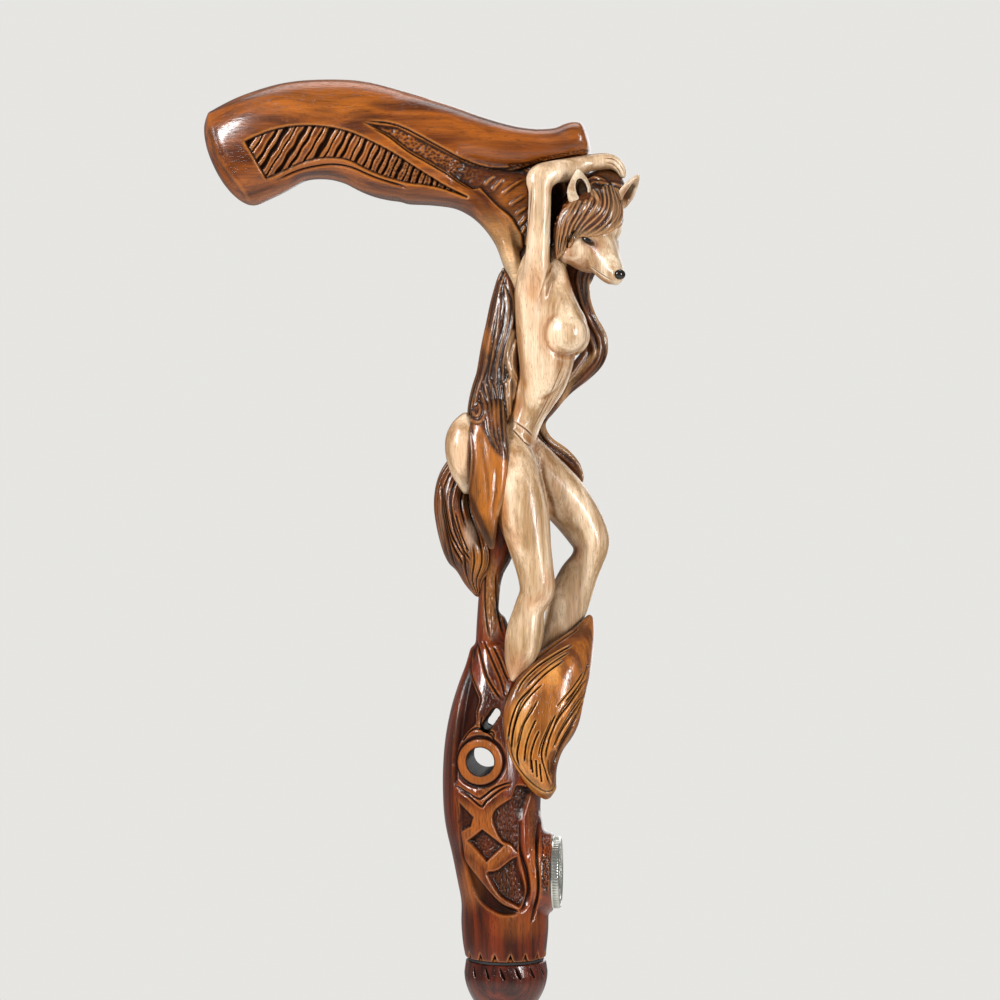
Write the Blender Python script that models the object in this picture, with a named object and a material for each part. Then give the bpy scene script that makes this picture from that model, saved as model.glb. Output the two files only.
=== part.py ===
# A carved walking cane: a grip, a fox-headed figure and a carved trunk on a turned staff with a rubber tip.
# The staff unscrews from the carved head at the seam, and the rubber tip pulls off.
# The frame is in metres: +Z up the staff, +X where the figure faces, -X along the grip, -Y the shown side.
# The origin is the centre of the tip's flat underside.
import math

import bmesh
import bpy
from mathutils import Matrix, Vector

MM = 0.001

# Driving dimensions, in millimetres
FIT_GAP = 0.3
SEAM_HEIGHT = 592.5
SEAM_RISE = 2.5
SEAM_RADIUS = 15.0
WASHER_THICKNESS = 0.8
BULB_RADIUS = 15.6
BULB_HEIGHT = 17.0
NECK_RADIUS = 10.6
BEAD_RADIUS = 12.2
BEAD_HEIGHT = 5.0
STAFF_TOP_RADIUS = 11.4
STAFF_FOOT_RADIUS = 9.4
STUD_RADIUS = 4.7
STUD_REACH = 24.0
STUD_ROOT = 34.0
STUD_END_ROOM = 1.5
INSERT_WALL = 2.2
INSERT_ROOF = 2.5
TIP_HEIGHT = 50.0
TIP_WALL = 3.2
TIP_FLOOR = 11.0
TIP_FOOT_RADIUS = 16.5
TIP_FOOT_HEIGHT = 9.0
TIP_GROOVES = (12.6, 9.0)
TIP_GROOVE_WIDTH = 1.6
TIP_GROOVE_DEPTH = 1.4
TIP_WASHER_THICKNESS = 1.6
COIN_RADIUS = 11.9
COIN_HEIGHT = 34.0
COIN_FACE = 17.4
BEZEL_DEPTH = 3.0
BEZEL_RIM = 1.2
BEZEL_FLOOR = 0.8
COIN_THICKNESS = 1.7
BOSS_MARGIN = 1.0
RING_HOLE_RADIUS = 5.2
GRIP_HALF_WIDTH = 15.1
NOSE_RADIUS = 1.9
EYE_RADIUS = 1.25
HEAD_TURN = 52.0
HEAD_PITCH = 45.0

# What follows from them
CARVING_FOOT = SEAM_HEIGHT - SEAM_RISE
STUD_BORE = STUD_RADIUS + FIT_GAP
INSERT_RADIUS = STUD_BORE + INSERT_WALL
INSERT_LENGTH = STUD_REACH + STUD_END_ROOM + INSERT_ROOF
BEZEL_INSIDE = COIN_RADIUS + FIT_GAP
BEZEL_OUTSIDE = BEZEL_INSIDE + BEZEL_RIM
BOSS_RADIUS = BEZEL_OUTSIDE + BOSS_MARGIN
STAFF_TOP = SEAM_HEIGHT - 2 * FIT_GAP - WASHER_THICKNESS
STAFF_FOOT = TIP_FLOOR + 2 * FIT_GAP + TIP_WASHER_THICKNESS

# Mesh fineness
SIDES = 18
TURNED_SIDES = 28
CARVED_VOXEL = 1.3
LOCK_VOXEL = 0.9
FINE_VOXEL = 0.75
CHIP = 0.004
FACES = {
    "figure_body": 2000,
    "fox_head": 1000,
    "hair": 1100,
    "far_lock": 420,
    "handle": 1400,
    "rear_tail": 460,
    "front_tail": 640,
    "trunk": 1500,
}


def clear_scene():
    for obj in list(bpy.data.objects):
        bpy.data.objects.remove(obj)


def material(name, colour, roughness, metallic=0.0):
    made = bpy.data.materials.new(name)
    made.use_nodes = True
    shader = made.node_tree.nodes["Principled BSDF"]
    shader.inputs["Base Color"].default_value = (*colour, 1.0)
    shader.inputs["Roughness"].default_value = roughness
    shader.inputs["Metallic"].default_value = metallic
    return made


def add_object(name, bm, finish):
    """Turns a bmesh in millimetres into an object in metres."""
    bmesh.ops.recalc_face_normals(bm, faces=bm.faces)
    bm.transform(Matrix.Scale(MM, 4))
    mesh = bpy.data.meshes.new(name)
    bm.to_mesh(mesh)
    bm.free()
    mesh.materials.append(finish)
    obj = bpy.data.objects.new(name, mesh)
    bpy.context.scene.collection.objects.link(obj)
    mesh.shade_smooth()
    mesh.set_sharp_from_angle(angle=math.radians(40))
    return obj


def through(rows, steps):
    """Rows of numbers on a smooth curve through the given rows, with steps between each two."""
    out = []
    last = len(rows) - 1
    for i in range(last):
        before, here = rows[max(i - 1, 0)], rows[i]
        there, after = rows[i + 1], rows[min(i + 2, last)]
        for k in range(steps):
            t = k / steps
            row = []
            for a, b, c, d in zip(before, here, there, after):
                slope_b, slope_c = (c - a) / 2, (d - b) / 2
                row.append(
                    (2 * t**3 - 3 * t**2 + 1) * b
                    + (t**3 - 2 * t**2 + t) * slope_b
                    + (3 * t**2 - 2 * t**3) * c
                    + (t**3 - t**2) * slope_c
                )
            out.append(row)
    out.append(list(rows[-1]))
    return out


def limb(bm, rows, side=(0, 1, 0), steps=3, sides=SIDES, blunt=0.8, square=2.0):
    """Adds a closed tapering form to bm. A row is x, y, z, half size across, half size along side."""
    rows = through(rows, steps)
    centres = [Vector(r[:3]) for r in rows]
    rings = []

    def ring(centre, tangent, across, along):
        lateral = Vector(side)
        lateral = (lateral - lateral.dot(tangent) * tangent).normalized()
        normal = tangent.cross(lateral)
        points = []
        for i in range(sides):
            angle = 2 * math.pi * i / sides
            c, s = math.cos(angle), math.sin(angle)
            c = math.copysign(abs(c) ** (2 / square), c)
            s = math.copysign(abs(s) ** (2 / square), s)
            points.append(bm.verts.new(centre + normal * across * c + lateral * along * s))
        rings.append(points)

    def tangent_at(i):
        a, b = centres[max(i - 1, 0)], centres[min(i + 1, len(centres) - 1)]
        return (b - a).normalized()

    cap_angles = [math.radians(a) for a in (72, 48, 24)]
    first, final = rows[0], rows[-1]
    reach = blunt * min(first[3], first[4])
    for angle in cap_angles:
        centre = centres[0] - tangent_at(0) * reach * math.sin(angle)
        ring(centre, tangent_at(0), first[3] * math.cos(angle), first[4] * math.cos(angle))
    for i, row in enumerate(rows):
        ring(centres[i], tangent_at(i), row[3], row[4])
    end = len(rows) - 1
    reach = blunt * min(final[3], final[4])
    for angle in reversed(cap_angles):
        centre = centres[-1] + tangent_at(end) * reach * math.sin(angle)
        ring(centre, tangent_at(end), final[3] * math.cos(angle), final[4] * math.cos(angle))
    for low, high in zip(rings, rings[1:]):
        for i in range(sides):
            j = (i + 1) % sides
            bm.faces.new((low[i], low[j], high[j], high[i]))
    bm.faces.new(list(reversed(rings[0])))
    bm.faces.new(rings[-1])


def ball(bm, centre, radii, turn=None, around=SIDES):
    """Adds an ellipsoid to bm."""
    place = Matrix.Translation(Vector(centre))
    if turn is not None:
        place = place @ turn.to_4x4()
    place = place @ Matrix.Diagonal((*radii, 1.0))
    bmesh.ops.create_uvsphere(bm, u_segments=around, v_segments=around // 2, radius=1.0, matrix=place)


def turned(bm, profile, centre=(0, 0, 0), axis=None, sides=TURNED_SIDES):
    """Adds a body turned about an axis. The profile runs round the section as (radius, height)."""
    place = Matrix.Translation(Vector(centre))
    if axis is not None:
        place = place @ Vector((0, 0, 1)).rotation_difference(Vector(axis)).to_matrix().to_4x4()
    closed = all(r > 0 for r, _ in profile)
    rings = []
    for r, z in profile:
        if r <= 0:
            rings.append([bm.verts.new(place @ Vector((0, 0, z)))])
            continue
        angles = [2 * math.pi * i / sides for i in range(sides)]
        rings.append(
            [bm.verts.new(place @ Vector((r * math.cos(a), r * math.sin(a), z))) for a in angles]
        )
    pairs = list(zip(rings, rings[1:]))
    if closed:
        pairs.append((rings[-1], rings[0]))
    for a, b in pairs:
        for i in range(sides):
            j = (i + 1) % sides
            if len(a) == 1:
                bm.faces.new((a[0], b[j], b[i]))
            elif len(b) == 1:
                bm.faces.new((a[i], a[j], b[0]))
            else:
                bm.faces.new((a[i], a[j], b[j], b[i]))


def raised(rows):
    """Lifts rows given from the carving's foot to the frame's height."""
    return [(r[0], r[1], r[2] + CARVING_FOOT, *r[3:]) for r in rows]


def settle(obj):
    """Replaces an object's mesh with what its modifiers make of it."""
    graph = bpy.context.evaluated_depsgraph_get()
    graph.update()
    mesh = bpy.data.meshes.new_from_object(obj.evaluated_get(graph), depsgraph=graph)
    old = obj.data
    obj.modifiers.clear()
    obj.data = mesh
    bpy.data.meshes.remove(old)
    mesh.name = obj.name
    return obj


def weld_forms(obj, voxel, faces, rounds=4):
    """Welds overlapping closed forms into one skin, softens it and thins it to about faces triangles."""
    remesh = obj.modifiers.new("skin", "REMESH")
    remesh.mode = "VOXEL"
    remesh.voxel_size = voxel * MM
    soften = obj.modifiers.new("soften", "SMOOTH")
    soften.factor = 0.5
    soften.iterations = rounds
    settle(obj)
    triangles = sum(len(p.vertices) - 2 for p in obj.data.polygons)
    thin = obj.modifiers.new("thin", "DECIMATE")
    thin.ratio = min(1.0, faces / triangles)
    settle(obj)
    return obj


def grown_copy(obj, gap=FIT_GAP):
    """A hidden copy of a solid, grown by the gap, to cut its seat in a neighbour."""
    copy = bpy.data.objects.new(obj.name + "_seat", obj.data.copy())
    bpy.context.scene.collection.objects.link(copy)
    grow = copy.modifiers.new("grow", "DISPLACE")
    grow.mid_level = 0.0
    grow.strength = gap * MM
    settle(copy)
    copy.hide_render = True
    copy.display_type = "WIRE"
    return copy


def cut(obj, *cutters):
    """Cuts closed solids out of obj, then drops the chips that this leaves."""
    for cutter in cutters:
        if not boxes_meet(obj, cutter):
            continue
        slice_away = obj.modifiers.new("seat", "BOOLEAN")
        slice_away.operation = "DIFFERENCE"
        slice_away.object = cutter
        settle(obj)
    drop_chips(obj)
    return obj


def boxes_meet(a, b):
    for axis in range(3):
        low_a, high_a = min(c[axis] for c in a.bound_box), max(c[axis] for c in a.bound_box)
        low_b, high_b = min(c[axis] for c in b.bound_box), max(c[axis] for c in b.bound_box)
        if high_a < low_b or high_b < low_a:
            return False
    return True


def drop_chips(obj):
    """Keeps the main body of a cut solid and welds its doubled points."""
    bm = bmesh.new()
    bm.from_mesh(obj.data)
    bmesh.ops.remove_doubles(bm, verts=bm.verts, dist=CHIP * MM)
    bmesh.ops.dissolve_degenerate(bm, edges=bm.edges, dist=CHIP * MM)
    bmesh.ops.triangulate(bm, faces=bm.faces)
    bm.verts.ensure_lookup_table()
    unseen = set(bm.verts)
    groups = []
    while unseen:
        stack = [unseen.pop()]
        group = set(stack)
        while stack:
            for edge in stack.pop().link_edges:
                for vert in edge.verts:
                    if vert in unseen:
                        unseen.remove(vert)
                        group.add(vert)
                        stack.append(vert)
        groups.append(group)
    main_body = max(groups, key=len)
    chips = [v for g in groups if g is not main_body for v in g]
    bmesh.ops.delete(bm, geom=chips, context="VERTS")
    bm.to_mesh(obj.data)
    bm.free()
    obj.data.shade_smooth()
    obj.data.set_sharp_from_angle(angle=math.radians(40))


def carved(name, forms, finish, voxel, faces, cutters=(), rounds=4):
    """A carved solid: forms welded into one skin, with seats cut for its neighbours."""
    bm = bmesh.new()
    for add in forms:
        add(bm)
    obj = add_object(name, bm, finish)
    weld_forms(obj, voxel, faces, rounds)
    cut(obj, *cutters)
    obj.data.materials.clear()
    obj.data.materials.append(finish)
    for face in obj.data.polygons:
        face.material_index = 0
    return obj


# The figure's torso, arms and legs, in millimetres from the carving's foot on the staff's axis
TORSO = [
    (20.0, -0.5, 266.0, 4.0, 4.0),
    (17.0, 0.0, 259.0, 5.5, 6.5),
    (13.5, 0.0, 251.0, 9.5, 12.0),
    (14.8, 0.0, 243.0, 10.8, 12.8),
    (15.5, 0.0, 235.0, 11.0, 12.6),
    (15.2, 0.0, 227.0, 10.6, 12.0),
    (13.6, 0.0, 219.0, 9.6, 11.2),
    (10.5, 0.0, 211.5, 8.0, 10.2),
    (7.8, 0.0, 205.0, 6.6, 9.6),
    (5.2, 0.0, 198.5, 7.0, 10.4),
    (1.2, 0.0, 191.5, 11.5, 12.6),
    (-2.0, 0.0, 183.5, 14.0, 13.6),
    (0.0, 0.0, 175.5, 12.0, 12.6),
    (4.0, 0.0, 169.0, 8.0, 10.0),
]
NEAR_ARM = [
    (11.0, -9.0, 246.0, 5.0, 4.0),
    (12.2, -11.5, 256.0, 4.9, 4.4),
    (13.0, -12.6, 268.0, 4.4, 4.2),
    (13.6, -12.9, 281.0, 4.2, 4.0),
    (13.7, -12.6, 287.6, 4.3, 4.1),
    (13.9, -12.2, 292.0, 5.3, 4.1),
    (18.6, -10.4, 294.6, 4.3, 3.9),
    (24.0, -7.0, 296.0, 4.2, 3.8),
    (30.0, -4.0, 298.4, 3.3, 3.6),
    (35.4, -1.8, 299.4, 3.2, 4.2),
    (39.6, -0.6, 299.4, 2.9, 4.4),
    (42.6, 0.2, 297.4, 2.2, 4.1),
    (44.0, 0.8, 294.4, 1.4, 3.2),
]
FAR_ARM = [
    (11.0, 9.0, 246.0, 5.0, 4.0),
    (12.2, 11.5, 256.0, 4.9, 4.4),
    (13.0, 12.6, 268.0, 4.4, 4.2),
    (13.6, 12.9, 281.0, 4.2, 4.0),
    (13.6, 12.6, 289.0, 4.1, 4.1),
    (17.2, 11.2, 293.2, 4.0, 3.9),
    (22.0, 7.0, 294.4, 3.5, 3.5),
    (24.6, 1.6, 295.0, 3.1, 3.2),
    (25.4, -3.6, 294.8, 2.6, 3.0),
]
NEAR_LEG = [
    (0.0, -6.5, 190.0, 10.5, 8.0),
    (4.6, -8.3, 180.0, 9.9, 8.4),
    (7.2, -9.6, 168.0, 9.8, 8.4),
    (9.6, -9.8, 157.0, 8.2, 7.6),
    (11.6, -9.6, 147.5, 7.0, 6.8),
    (12.4, -9.4, 139.8, 6.6, 6.4),
    (9.6, -9.2, 133.4, 5.7, 5.8),
    (8.2, -9.0, 126.0, 6.9, 6.2),
    (6.8, -8.8, 118.6, 6.8, 6.0),
    (4.8, -8.4, 112.0, 4.8, 4.8),
    (3.4, -8.6, 106.5, 2.0, 3.2),
]
FAR_LEG = [
    (3.0, 6.0, 190.0, 11.0, 8.0),
    (11.0, 8.0, 183.0, 10.4, 8.8),
    (19.8, 9.2, 175.0, 9.6, 8.4),
    (26.9, 9.6, 166.0, 8.6, 7.6),
    (31.2, 9.6, 157.6, 7.4, 6.6),
    (30.2, 9.4, 151.0, 6.2, 5.9),
    (26.4, 9.0, 144.0, 7.4, 6.2),
    (23.0, 8.6, 135.0, 8.0, 6.4),
    (20.4, 8.0, 126.0, 7.0, 6.2),
    (17.0, 6.6, 117.0, 5.6, 5.2),
    (14.0, 5.0, 109.0, 3.8, 4.0),
]
NEAR_CHEST = [
    (19.0, -2.6, 265.0, 2.6, 3.6),
    (18.8, -5.0, 257.0, 4.6, 4.8),
    (19.8, -6.4, 249.0, 6.0, 5.6),
    (21.2, -6.8, 243.0, 7.0, 5.8),
    (22.6, -6.8, 237.0, 7.2, 6.4),
]
NEAR_FLANK = [
    (11.4, -9.0, 268.0, 1.6, 2.6),
    (9.4, -8.8, 260.5, 3.5, 4.0),
    (8.8, -8.8, 252.0, 4.9, 4.9),
    (9.8, -8.6, 244.0, 5.8, 5.4),
    (10.6, -7.6, 236.0, 6.2, 5.8),
    (10.8, -6.4, 227.0, 5.6, 6.0),
    (10.8, -5.6, 218.0, 4.6, 5.2),
    (10.6, -4.4, 211.0, 2.6, 3.6),
]
NEAR_HIP = [
    (-14.6, -5.6, 204.8, 1.6, 3.0),
    (-14.8, -7.0, 201.0, 5.2, 5.6),
    (-14.9, -8.0, 195.6, 7.2, 6.8),
    (-14.7, -8.4, 188.6, 6.9, 6.8),
    (-14.4, -8.0, 182.0, 4.9, 5.8),
    (-14.2, -7.2, 176.6, 1.8, 3.4),
]
CHEST_PLACE = (21.8, 5.0, 238.0)
CHEST_RADII = (8.6, 7.4, 10.0)
BUST_PLACE = (23.3, 7.2, 235.2)
BUST_RADII = (8.0, 6.8, 8.0)


def figure_forms():
    """The fox figure's own body: torso, chest, bust, flanks, hips, raised arms and bent legs."""
    paired = (NEAR_CHEST, NEAR_FLANK, NEAR_HIP)
    mirrored = [[(x, -y, *rest) for x, y, *rest in rows] for rows in paired]
    bodies = (TORSO, *paired, *mirrored, NEAR_LEG, FAR_LEG)
    forms = [lambda bm, rows=rows: limb(bm, raised(rows)) for rows in bodies]
    forms += [lambda bm, rows=rows: limb(bm, raised(rows), square=2.5) for rows in (NEAR_ARM, FAR_ARM)]
    for (x, y, z), radii in ((CHEST_PLACE, CHEST_RADII), (BUST_PLACE, BUST_RADII)):
        for side in (-y, y):
            place = (x, side, z + CARVING_FOOT)
            forms.append(lambda bm, place=place, radii=radii: ball(bm, place, radii))
    return forms


# The head's own frame: forward along the snout, left and up, about the skull's centre
HEAD_CENTRE = (33.4, -2.0, 276.4)


def head_frame():
    turn, pitch = math.radians(HEAD_TURN), math.radians(HEAD_PITCH)
    level = Vector((math.cos(turn), -math.sin(turn), 0))
    left = Vector((0, 0, 1)).cross(level)
    forward = level * math.cos(pitch) - Vector((0, 0, math.sin(pitch)))
    up = forward.cross(left)
    return Matrix((forward, left, up)).transposed()


def on_head(forward, left, up):
    centre = Vector(HEAD_CENTRE) + Vector((0, 0, CARVING_FOOT))
    return centre + head_frame() @ Vector((forward, left, up))


def head_rows(rows):
    return [(*on_head(*r[:3]), *r[3:]) for r in rows]


SKULL_RADII = (10.4, 10.4, 9.8)
SNOUT = [
    (1.0, 0.0, -2.5, 9.0, 9.2),
    (7.0, 0.0, -4.6, 8.0, 8.2),
    (12.0, 0.0, -5.5, 7.1, 6.9),
    (17.0, 0.0, -5.8, 5.9, 5.5),
    (21.5, 0.0, -5.5, 4.9, 4.4),
    (24.4, 0.0, -4.9, 3.6, 3.2),
]
RUFF = [
    (31.0, -3.4, 265.6, 8.0, 6.0),
    (26.6, -5.6, 265.2, 6.2, 5.8),
    (22.6, -7.2, 264.4, 3.2, 4.2),
]
CHEEK = (4.6, 6.2, -6.6)
CHEEK_RADII = (6.0, 4.6, 5.2)
NOSE_PLACE = (25.6, 0.0, -3.0)
EYE_PLACE = (8.2, 6.6, -1.6)
EAR_FOOT = (-3.0, 9.4, 7.4)
EAR_TIP = (-6.6, 13.6, 19.2)
EAR_HALF_WIDTHS = ((0.0, 4.9), (0.35, 5.0), (0.65, 3.7), (0.88, 2.0), (1.0, 0.9))
EAR_HALF_THICKNESS = (1.5, 0.9)
EAR_SIDE = (-0.15, 1.0, -0.2)


def ear_form(sign):
    """A pointed ear, flat from front to back, hollowed towards the front."""

    def add(bm):
        frame = head_frame()
        foot = Vector((EAR_FOOT[0], sign * EAR_FOOT[1], EAR_FOOT[2]))
        tip = Vector((EAR_TIP[0], sign * EAR_TIP[1], EAR_TIP[2]))
        thick, thin = EAR_HALF_THICKNESS
        rows = []
        for share, half in EAR_HALF_WIDTHS:
            place = foot.lerp(tip, share)
            rows.append((*on_head(*place), thick + (thin - thick) * share, half))
        limb(bm, rows, side=frame @ Vector((EAR_SIDE[0], sign * EAR_SIDE[1], EAR_SIDE[2])))

    return add


def head_forms():
    frame = head_frame()
    left = frame @ Vector((0, 1, 0))
    cheeks = [
        lambda bm, s=s: ball(bm, on_head(CHEEK[0], s * CHEEK[1], CHEEK[2]), CHEEK_RADII, frame)
        for s in (-1, 1)
    ]
    return [
        lambda bm: ball(bm, on_head(0, 0, 0), SKULL_RADII, frame),
        lambda bm: limb(bm, head_rows(SNOUT), side=left),
        lambda bm: limb(bm, raised(RUFF)),
        ear_form(-1),
        ear_form(1),
        *cheeks,
    ]


# The hair: a cap over the skull, a mane down the back and two locks
CAP_PLACE = (-2.7, -1.4, 4.1)
CAP_RADII = (11.4, 12.0, 10.2)
CROWN = (36.6, 3.0, 289.6)
CROWN_RADII = (9.2, 9.4, 8.8)
HOLLOW_HAIR = (20.6, 2.0, 284.6)
HOLLOW_HAIR_RADII = (6.0, 6.0, 8.0)
MANE = [
    (26.0, 0.0, 285.0, 9.0, 10.0),
    (18.0, 0.0, 276.5, 7.6, 9.0),
    (10.0, 0.0, 267.0, 6.5, 8.0),
    (3.6, 0.0, 258.0, 6.4, 8.4),
    (1.0, 0.0, 248.0, 6.8, 10.4),
    (-0.2, 0.0, 238.0, 7.6, 12.0),
    (-1.8, 0.0, 229.0, 7.8, 12.4),
    (-3.2, 0.0, 219.5, 8.0, 12.2),
    (-5.0, 0.0, 213.0, 8.2, 12.4),
    (-6.4, 0.0, 205.5, 8.2, 12.8),
    (-6.6, 0.0, 197.5, 7.4, 13.4),
    (-5.0, 0.0, 190.0, 5.0, 13.8),
    (-3.4, 0.0, 183.0, 3.0, 14.2),
]
STRAND_BED = [
    (2.4, 0.0, 246.0, 2.4, 7.0),
    (2.7, 0.0, 238.0, 3.0, 8.6),
    (2.6, 0.0, 229.0, 3.4, 9.4),
    (2.2, 0.0, 220.0, 3.4, 9.4),
    (1.0, 0.0, 212.0, 3.4, 9.6),
    (-0.6, 0.0, 205.0, 3.0, 9.6),
]
DRAPE = [
    (-5.4, -9.4, 206.0, 6.0, 4.0),
    (-5.6, -12.2, 197.0, 7.4, 4.0),
    (-5.4, -14.4, 187.0, 7.7, 3.5),
    (-5.6, -15.2, 177.0, 6.7, 2.9),
    (-6.0, -15.2, 168.0, 4.8, 2.6),
    (-5.0, -14.6, 160.5, 2.8, 2.1),
    (-4.2, -13.6, 156.0, 1.2, 1.3),
]
NEAR_LOCK = [
    (26.0, -12.0, 280.0, 5.0, 3.0),
    (22.0, -11.6, 273.0, 3.8, 3.0),
    (20.6, -10.8, 267.4, 2.6, 2.6),
    (19.8, -9.8, 262.6, 1.2, 1.6),
]
FAR_LOCK = [
    (36.0, 7.0, 270.0, 4.2, 3.0),
    (26.6, 9.0, 259.0, 7.0, 3.2),
    (26.4, 12.4, 250.0, 5.6, 3.2),
    (28.8, 15.2, 242.0, 4.9, 3.0),
    (32.0, 15.6, 234.0, 5.6, 3.0),
    (31.8, 15.4, 227.6, 5.2, 3.0),
    (27.0, 14.4, 221.6, 4.8, 2.9),
    (21.0, 13.0, 215.8, 4.0, 2.7),
    (16.4, 12.2, 210.0, 3.6, 2.6),
    (12.0, 12.2, 202.5, 2.9, 2.5),
    (14.2, 14.4, 195.6, 3.2, 2.4),
    (20.8, 16.4, 190.2, 3.5, 2.3),
    (25.6, 17.0, 184.8, 3.2, 2.0),
    (28.0, 16.8, 180.0, 1.8, 1.3),
]


def hair_forms():
    frame = head_frame()
    forms = [
        lambda bm: ball(bm, on_head(*CAP_PLACE), CAP_RADII, frame),
        lambda bm: limb(bm, raised(DRAPE), square=2.6),
    ]
    forms += [lambda bm, rows=rows: limb(bm, raised(rows)) for rows in (MANE, STRAND_BED, NEAR_LOCK)]
    for (x, y, z), radii in ((CROWN, CROWN_RADII), (HOLLOW_HAIR, HOLLOW_HAIR_RADII)):
        place = (x, y, z + CARVING_FOOT)
        forms.append(lambda bm, place=place, radii=radii: ball(bm, place, radii))
    return forms


def lock_forms():
    return [lambda bm: limb(bm, raised(FAR_LOCK))]


# The grip: a long palm swell, a knob over the figure's arms and a neck down into its back
GRIP = [
    (-102.8, 0.0, 302.8, 19.8, 0.9),
    (-92.5, 0.0, 307.6, 19.9, 0.0),
    (-80.5, 0.0, 312.1, 18.8, 0.3),
    (-67.7, 0.0, 313.0, 18.7, 0.6),
    (-55.5, 0.0, 311.3, 19.6, 0.6),
    (-43.0, 0.0, 306.8, 20.6, 0.9),
    (-31.0, 0.0, 304.4, 19.3, 1.3),
    (-20.0, 0.0, 301.6, 15.0, 2.7),
]
KNOB = [
    (-48.0, 0.0, 312.6, 14.4, 1.5),
    (-36.0, 0.0, 311.6, 14.0, 1.5),
    (-24.0, 0.0, 310.8, 11.0, 1.7),
    (-12.0, 0.0, 308.2, 9.2, 2.3),
    (0.0, 0.0, 305.4, 8.4, 2.9),
    (11.0, 0.0, 304.6, 7.4, 3.2),
    (20.0, 0.0, 305.4, 7.0, 2.9),
    (26.0, 0.0, 307.2, 7.4, 2.6),
    (29.6, 0.0, 308.2, 6.4, 3.5),
]
NECK = [
    (-36.0, 0.0, 291.8, 7.4, 11.0),
    (-26.0, 0.0, 290.4, 6.6, 10.6),
    (-16.2, 0.0, 287.4, 5.5, 10.2),
    (-7.4, 0.0, 281.4, 5.1, 9.8),
    (-0.6, 0.0, 271.6, 4.3, 9.9),
    (3.1, 0.0, 261.2, 3.9, 10.8),
    (7.0, 0.0, 250.0, 3.0, 10.4),
    (8.6, 0.0, 240.0, 2.2, 8.0),
]
WEB = [
    (-24.0, 0.0, 298.0, 7.0, 8.4),
    (-10.0, 0.0, 293.0, 9.0, 8.0),
    (0.0, 0.0, 288.0, 12.0, 7.8),
    (5.6, 0.0, 282.0, 12.0, 7.6),
    (8.4, 0.0, 272.0, 9.0, 7.2),
]


def widened(rows):
    """The last number of these rows says how much narrower the section is than the grip's widest."""
    return [(*r[:4], GRIP_HALF_WIDTH - r[4]) for r in rows]


def grip_forms():
    return [
        lambda bm: limb(bm, raised(widened(GRIP)), blunt=0.62, square=2.3, sides=24),
        lambda bm: limb(bm, raised(widened(KNOB)), blunt=0.22, square=2.4, sides=24),
        lambda bm: limb(bm, raised(NECK), square=2.2),
        lambda bm: limb(bm, raised(WEB), square=2.6),
    ]


# The two tails
REAR_TAIL = [
    (-14.0, 0.0, 190.0, 5.0, 8.0),
    (-18.6, 0.0, 181.5, 6.6, 9.8),
    (-19.6, 0.0, 173.0, 7.6, 11.0),
    (-17.4, 0.0, 164.8, 9.0, 11.8),
    (-14.2, 0.0, 157.0, 10.0, 11.6),
    (-11.8, 0.0, 150.0, 8.8, 10.2),
    (-11.4, 0.0, 143.2, 4.8, 7.2),
    (-10.2, 0.0, 138.0, 1.8, 3.6),
]
FRONT_RIM = [
    (24.6, -3.6, 119.6, 2.0, 2.6),
    (18.6, -7.0, 115.0, 2.8, 2.8),
    (12.8, -10.2, 110.4, 3.2, 3.0),
    (8.2, -12.0, 105.6, 3.3, 3.0),
    (5.0, -13.2, 100.0, 3.3, 3.0),
    (3.2, -13.6, 94.0, 3.4, 3.0),
    (3.0, -13.6, 87.0, 3.4, 3.0),
    (5.0, -13.4, 80.0, 3.4, 2.9),
    (8.6, -12.8, 73.5, 3.2, 2.8),
    (12.6, -11.4, 67.4, 2.8, 2.8),
    (16.2, -10.4, 64.6, 2.6, 2.8),
]
FRONT_TAIL = [
    (31.2, 5.0, 129.0, 1.6, 2.2),
    (28.4, 2.0, 122.0, 5.0, 6.0),
    (23.2, -2.0, 113.0, 9.8, 9.4),
    (17.4, -5.4, 103.0, 13.2, 10.8),
    (13.8, -7.6, 93.0, 14.1, 10.6),
    (11.9, -8.7, 83.0, 11.5, 9.6),
    (13.0, -9.4, 74.0, 7.4, 8.2),
    (15.6, -9.4, 66.6, 4.2, 5.6),
]


def tail_forms(*parts):
    return [lambda bm, rows=rows: limb(bm, raised(rows)) for rows in parts]


# The trunk: horizontal sections as centre x, centre y, height, half depth, half width
TRUNK = [
    (0.0, 0.0, -6.0, 14.8, 14.8),
    (0.0, 0.0, 1.5, SEAM_RADIUS, SEAM_RADIUS),
    (-0.3, 0.0, 8.0, 15.9, 15.4),
    (-0.4, 0.0, 15.0, 16.4, 15.8),
    (-0.6, 0.0, 24.0, 16.2, 16.2),
    (-1.6, 0.0, 34.0, 17.0, 16.8),
    (-3.0, 0.0, 45.0, 17.8, 17.2),
    (-5.1, 0.0, 56.0, 18.1, 17.4),
    (-5.2, 0.0, 68.0, 18.6, 17.2),
    (-5.2, 0.0, 80.0, 18.0, 16.8),
    (-4.6, 0.0, 91.0, 16.8, 16.2),
    (-4.0, 0.0, 101.0, 14.8, 14.6),
    (-4.0, 0.0, 110.0, 12.0, 12.0),
    (-5.0, 0.0, 119.0, 8.4, 9.6),
]
BRANCH = [
    (-5.6, 0.0, 112.0, 6.0, 9.0),
    (-7.0, 0.0, 124.0, 4.2, 7.4),
    (-6.4, 0.0, 136.0, 4.0, 6.6),
    (-5.2, 0.0, 146.0, 4.4, 6.8),
    (-3.4, 0.0, 153.0, 6.0, 7.6),
    (-2.0, 0.0, 161.0, 6.8, 8.4),
    (-1.6, 0.0, 170.0, 7.0, 8.8),
]
BRANCH_FOOT = [
    (-3.0, 0.0, 114.0, 7.0, 8.0),
    (-2.6, 0.0, 122.0, 5.4, 6.6),
    (-3.2, 0.0, 128.0, 3.6, 5.0),
]
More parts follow.
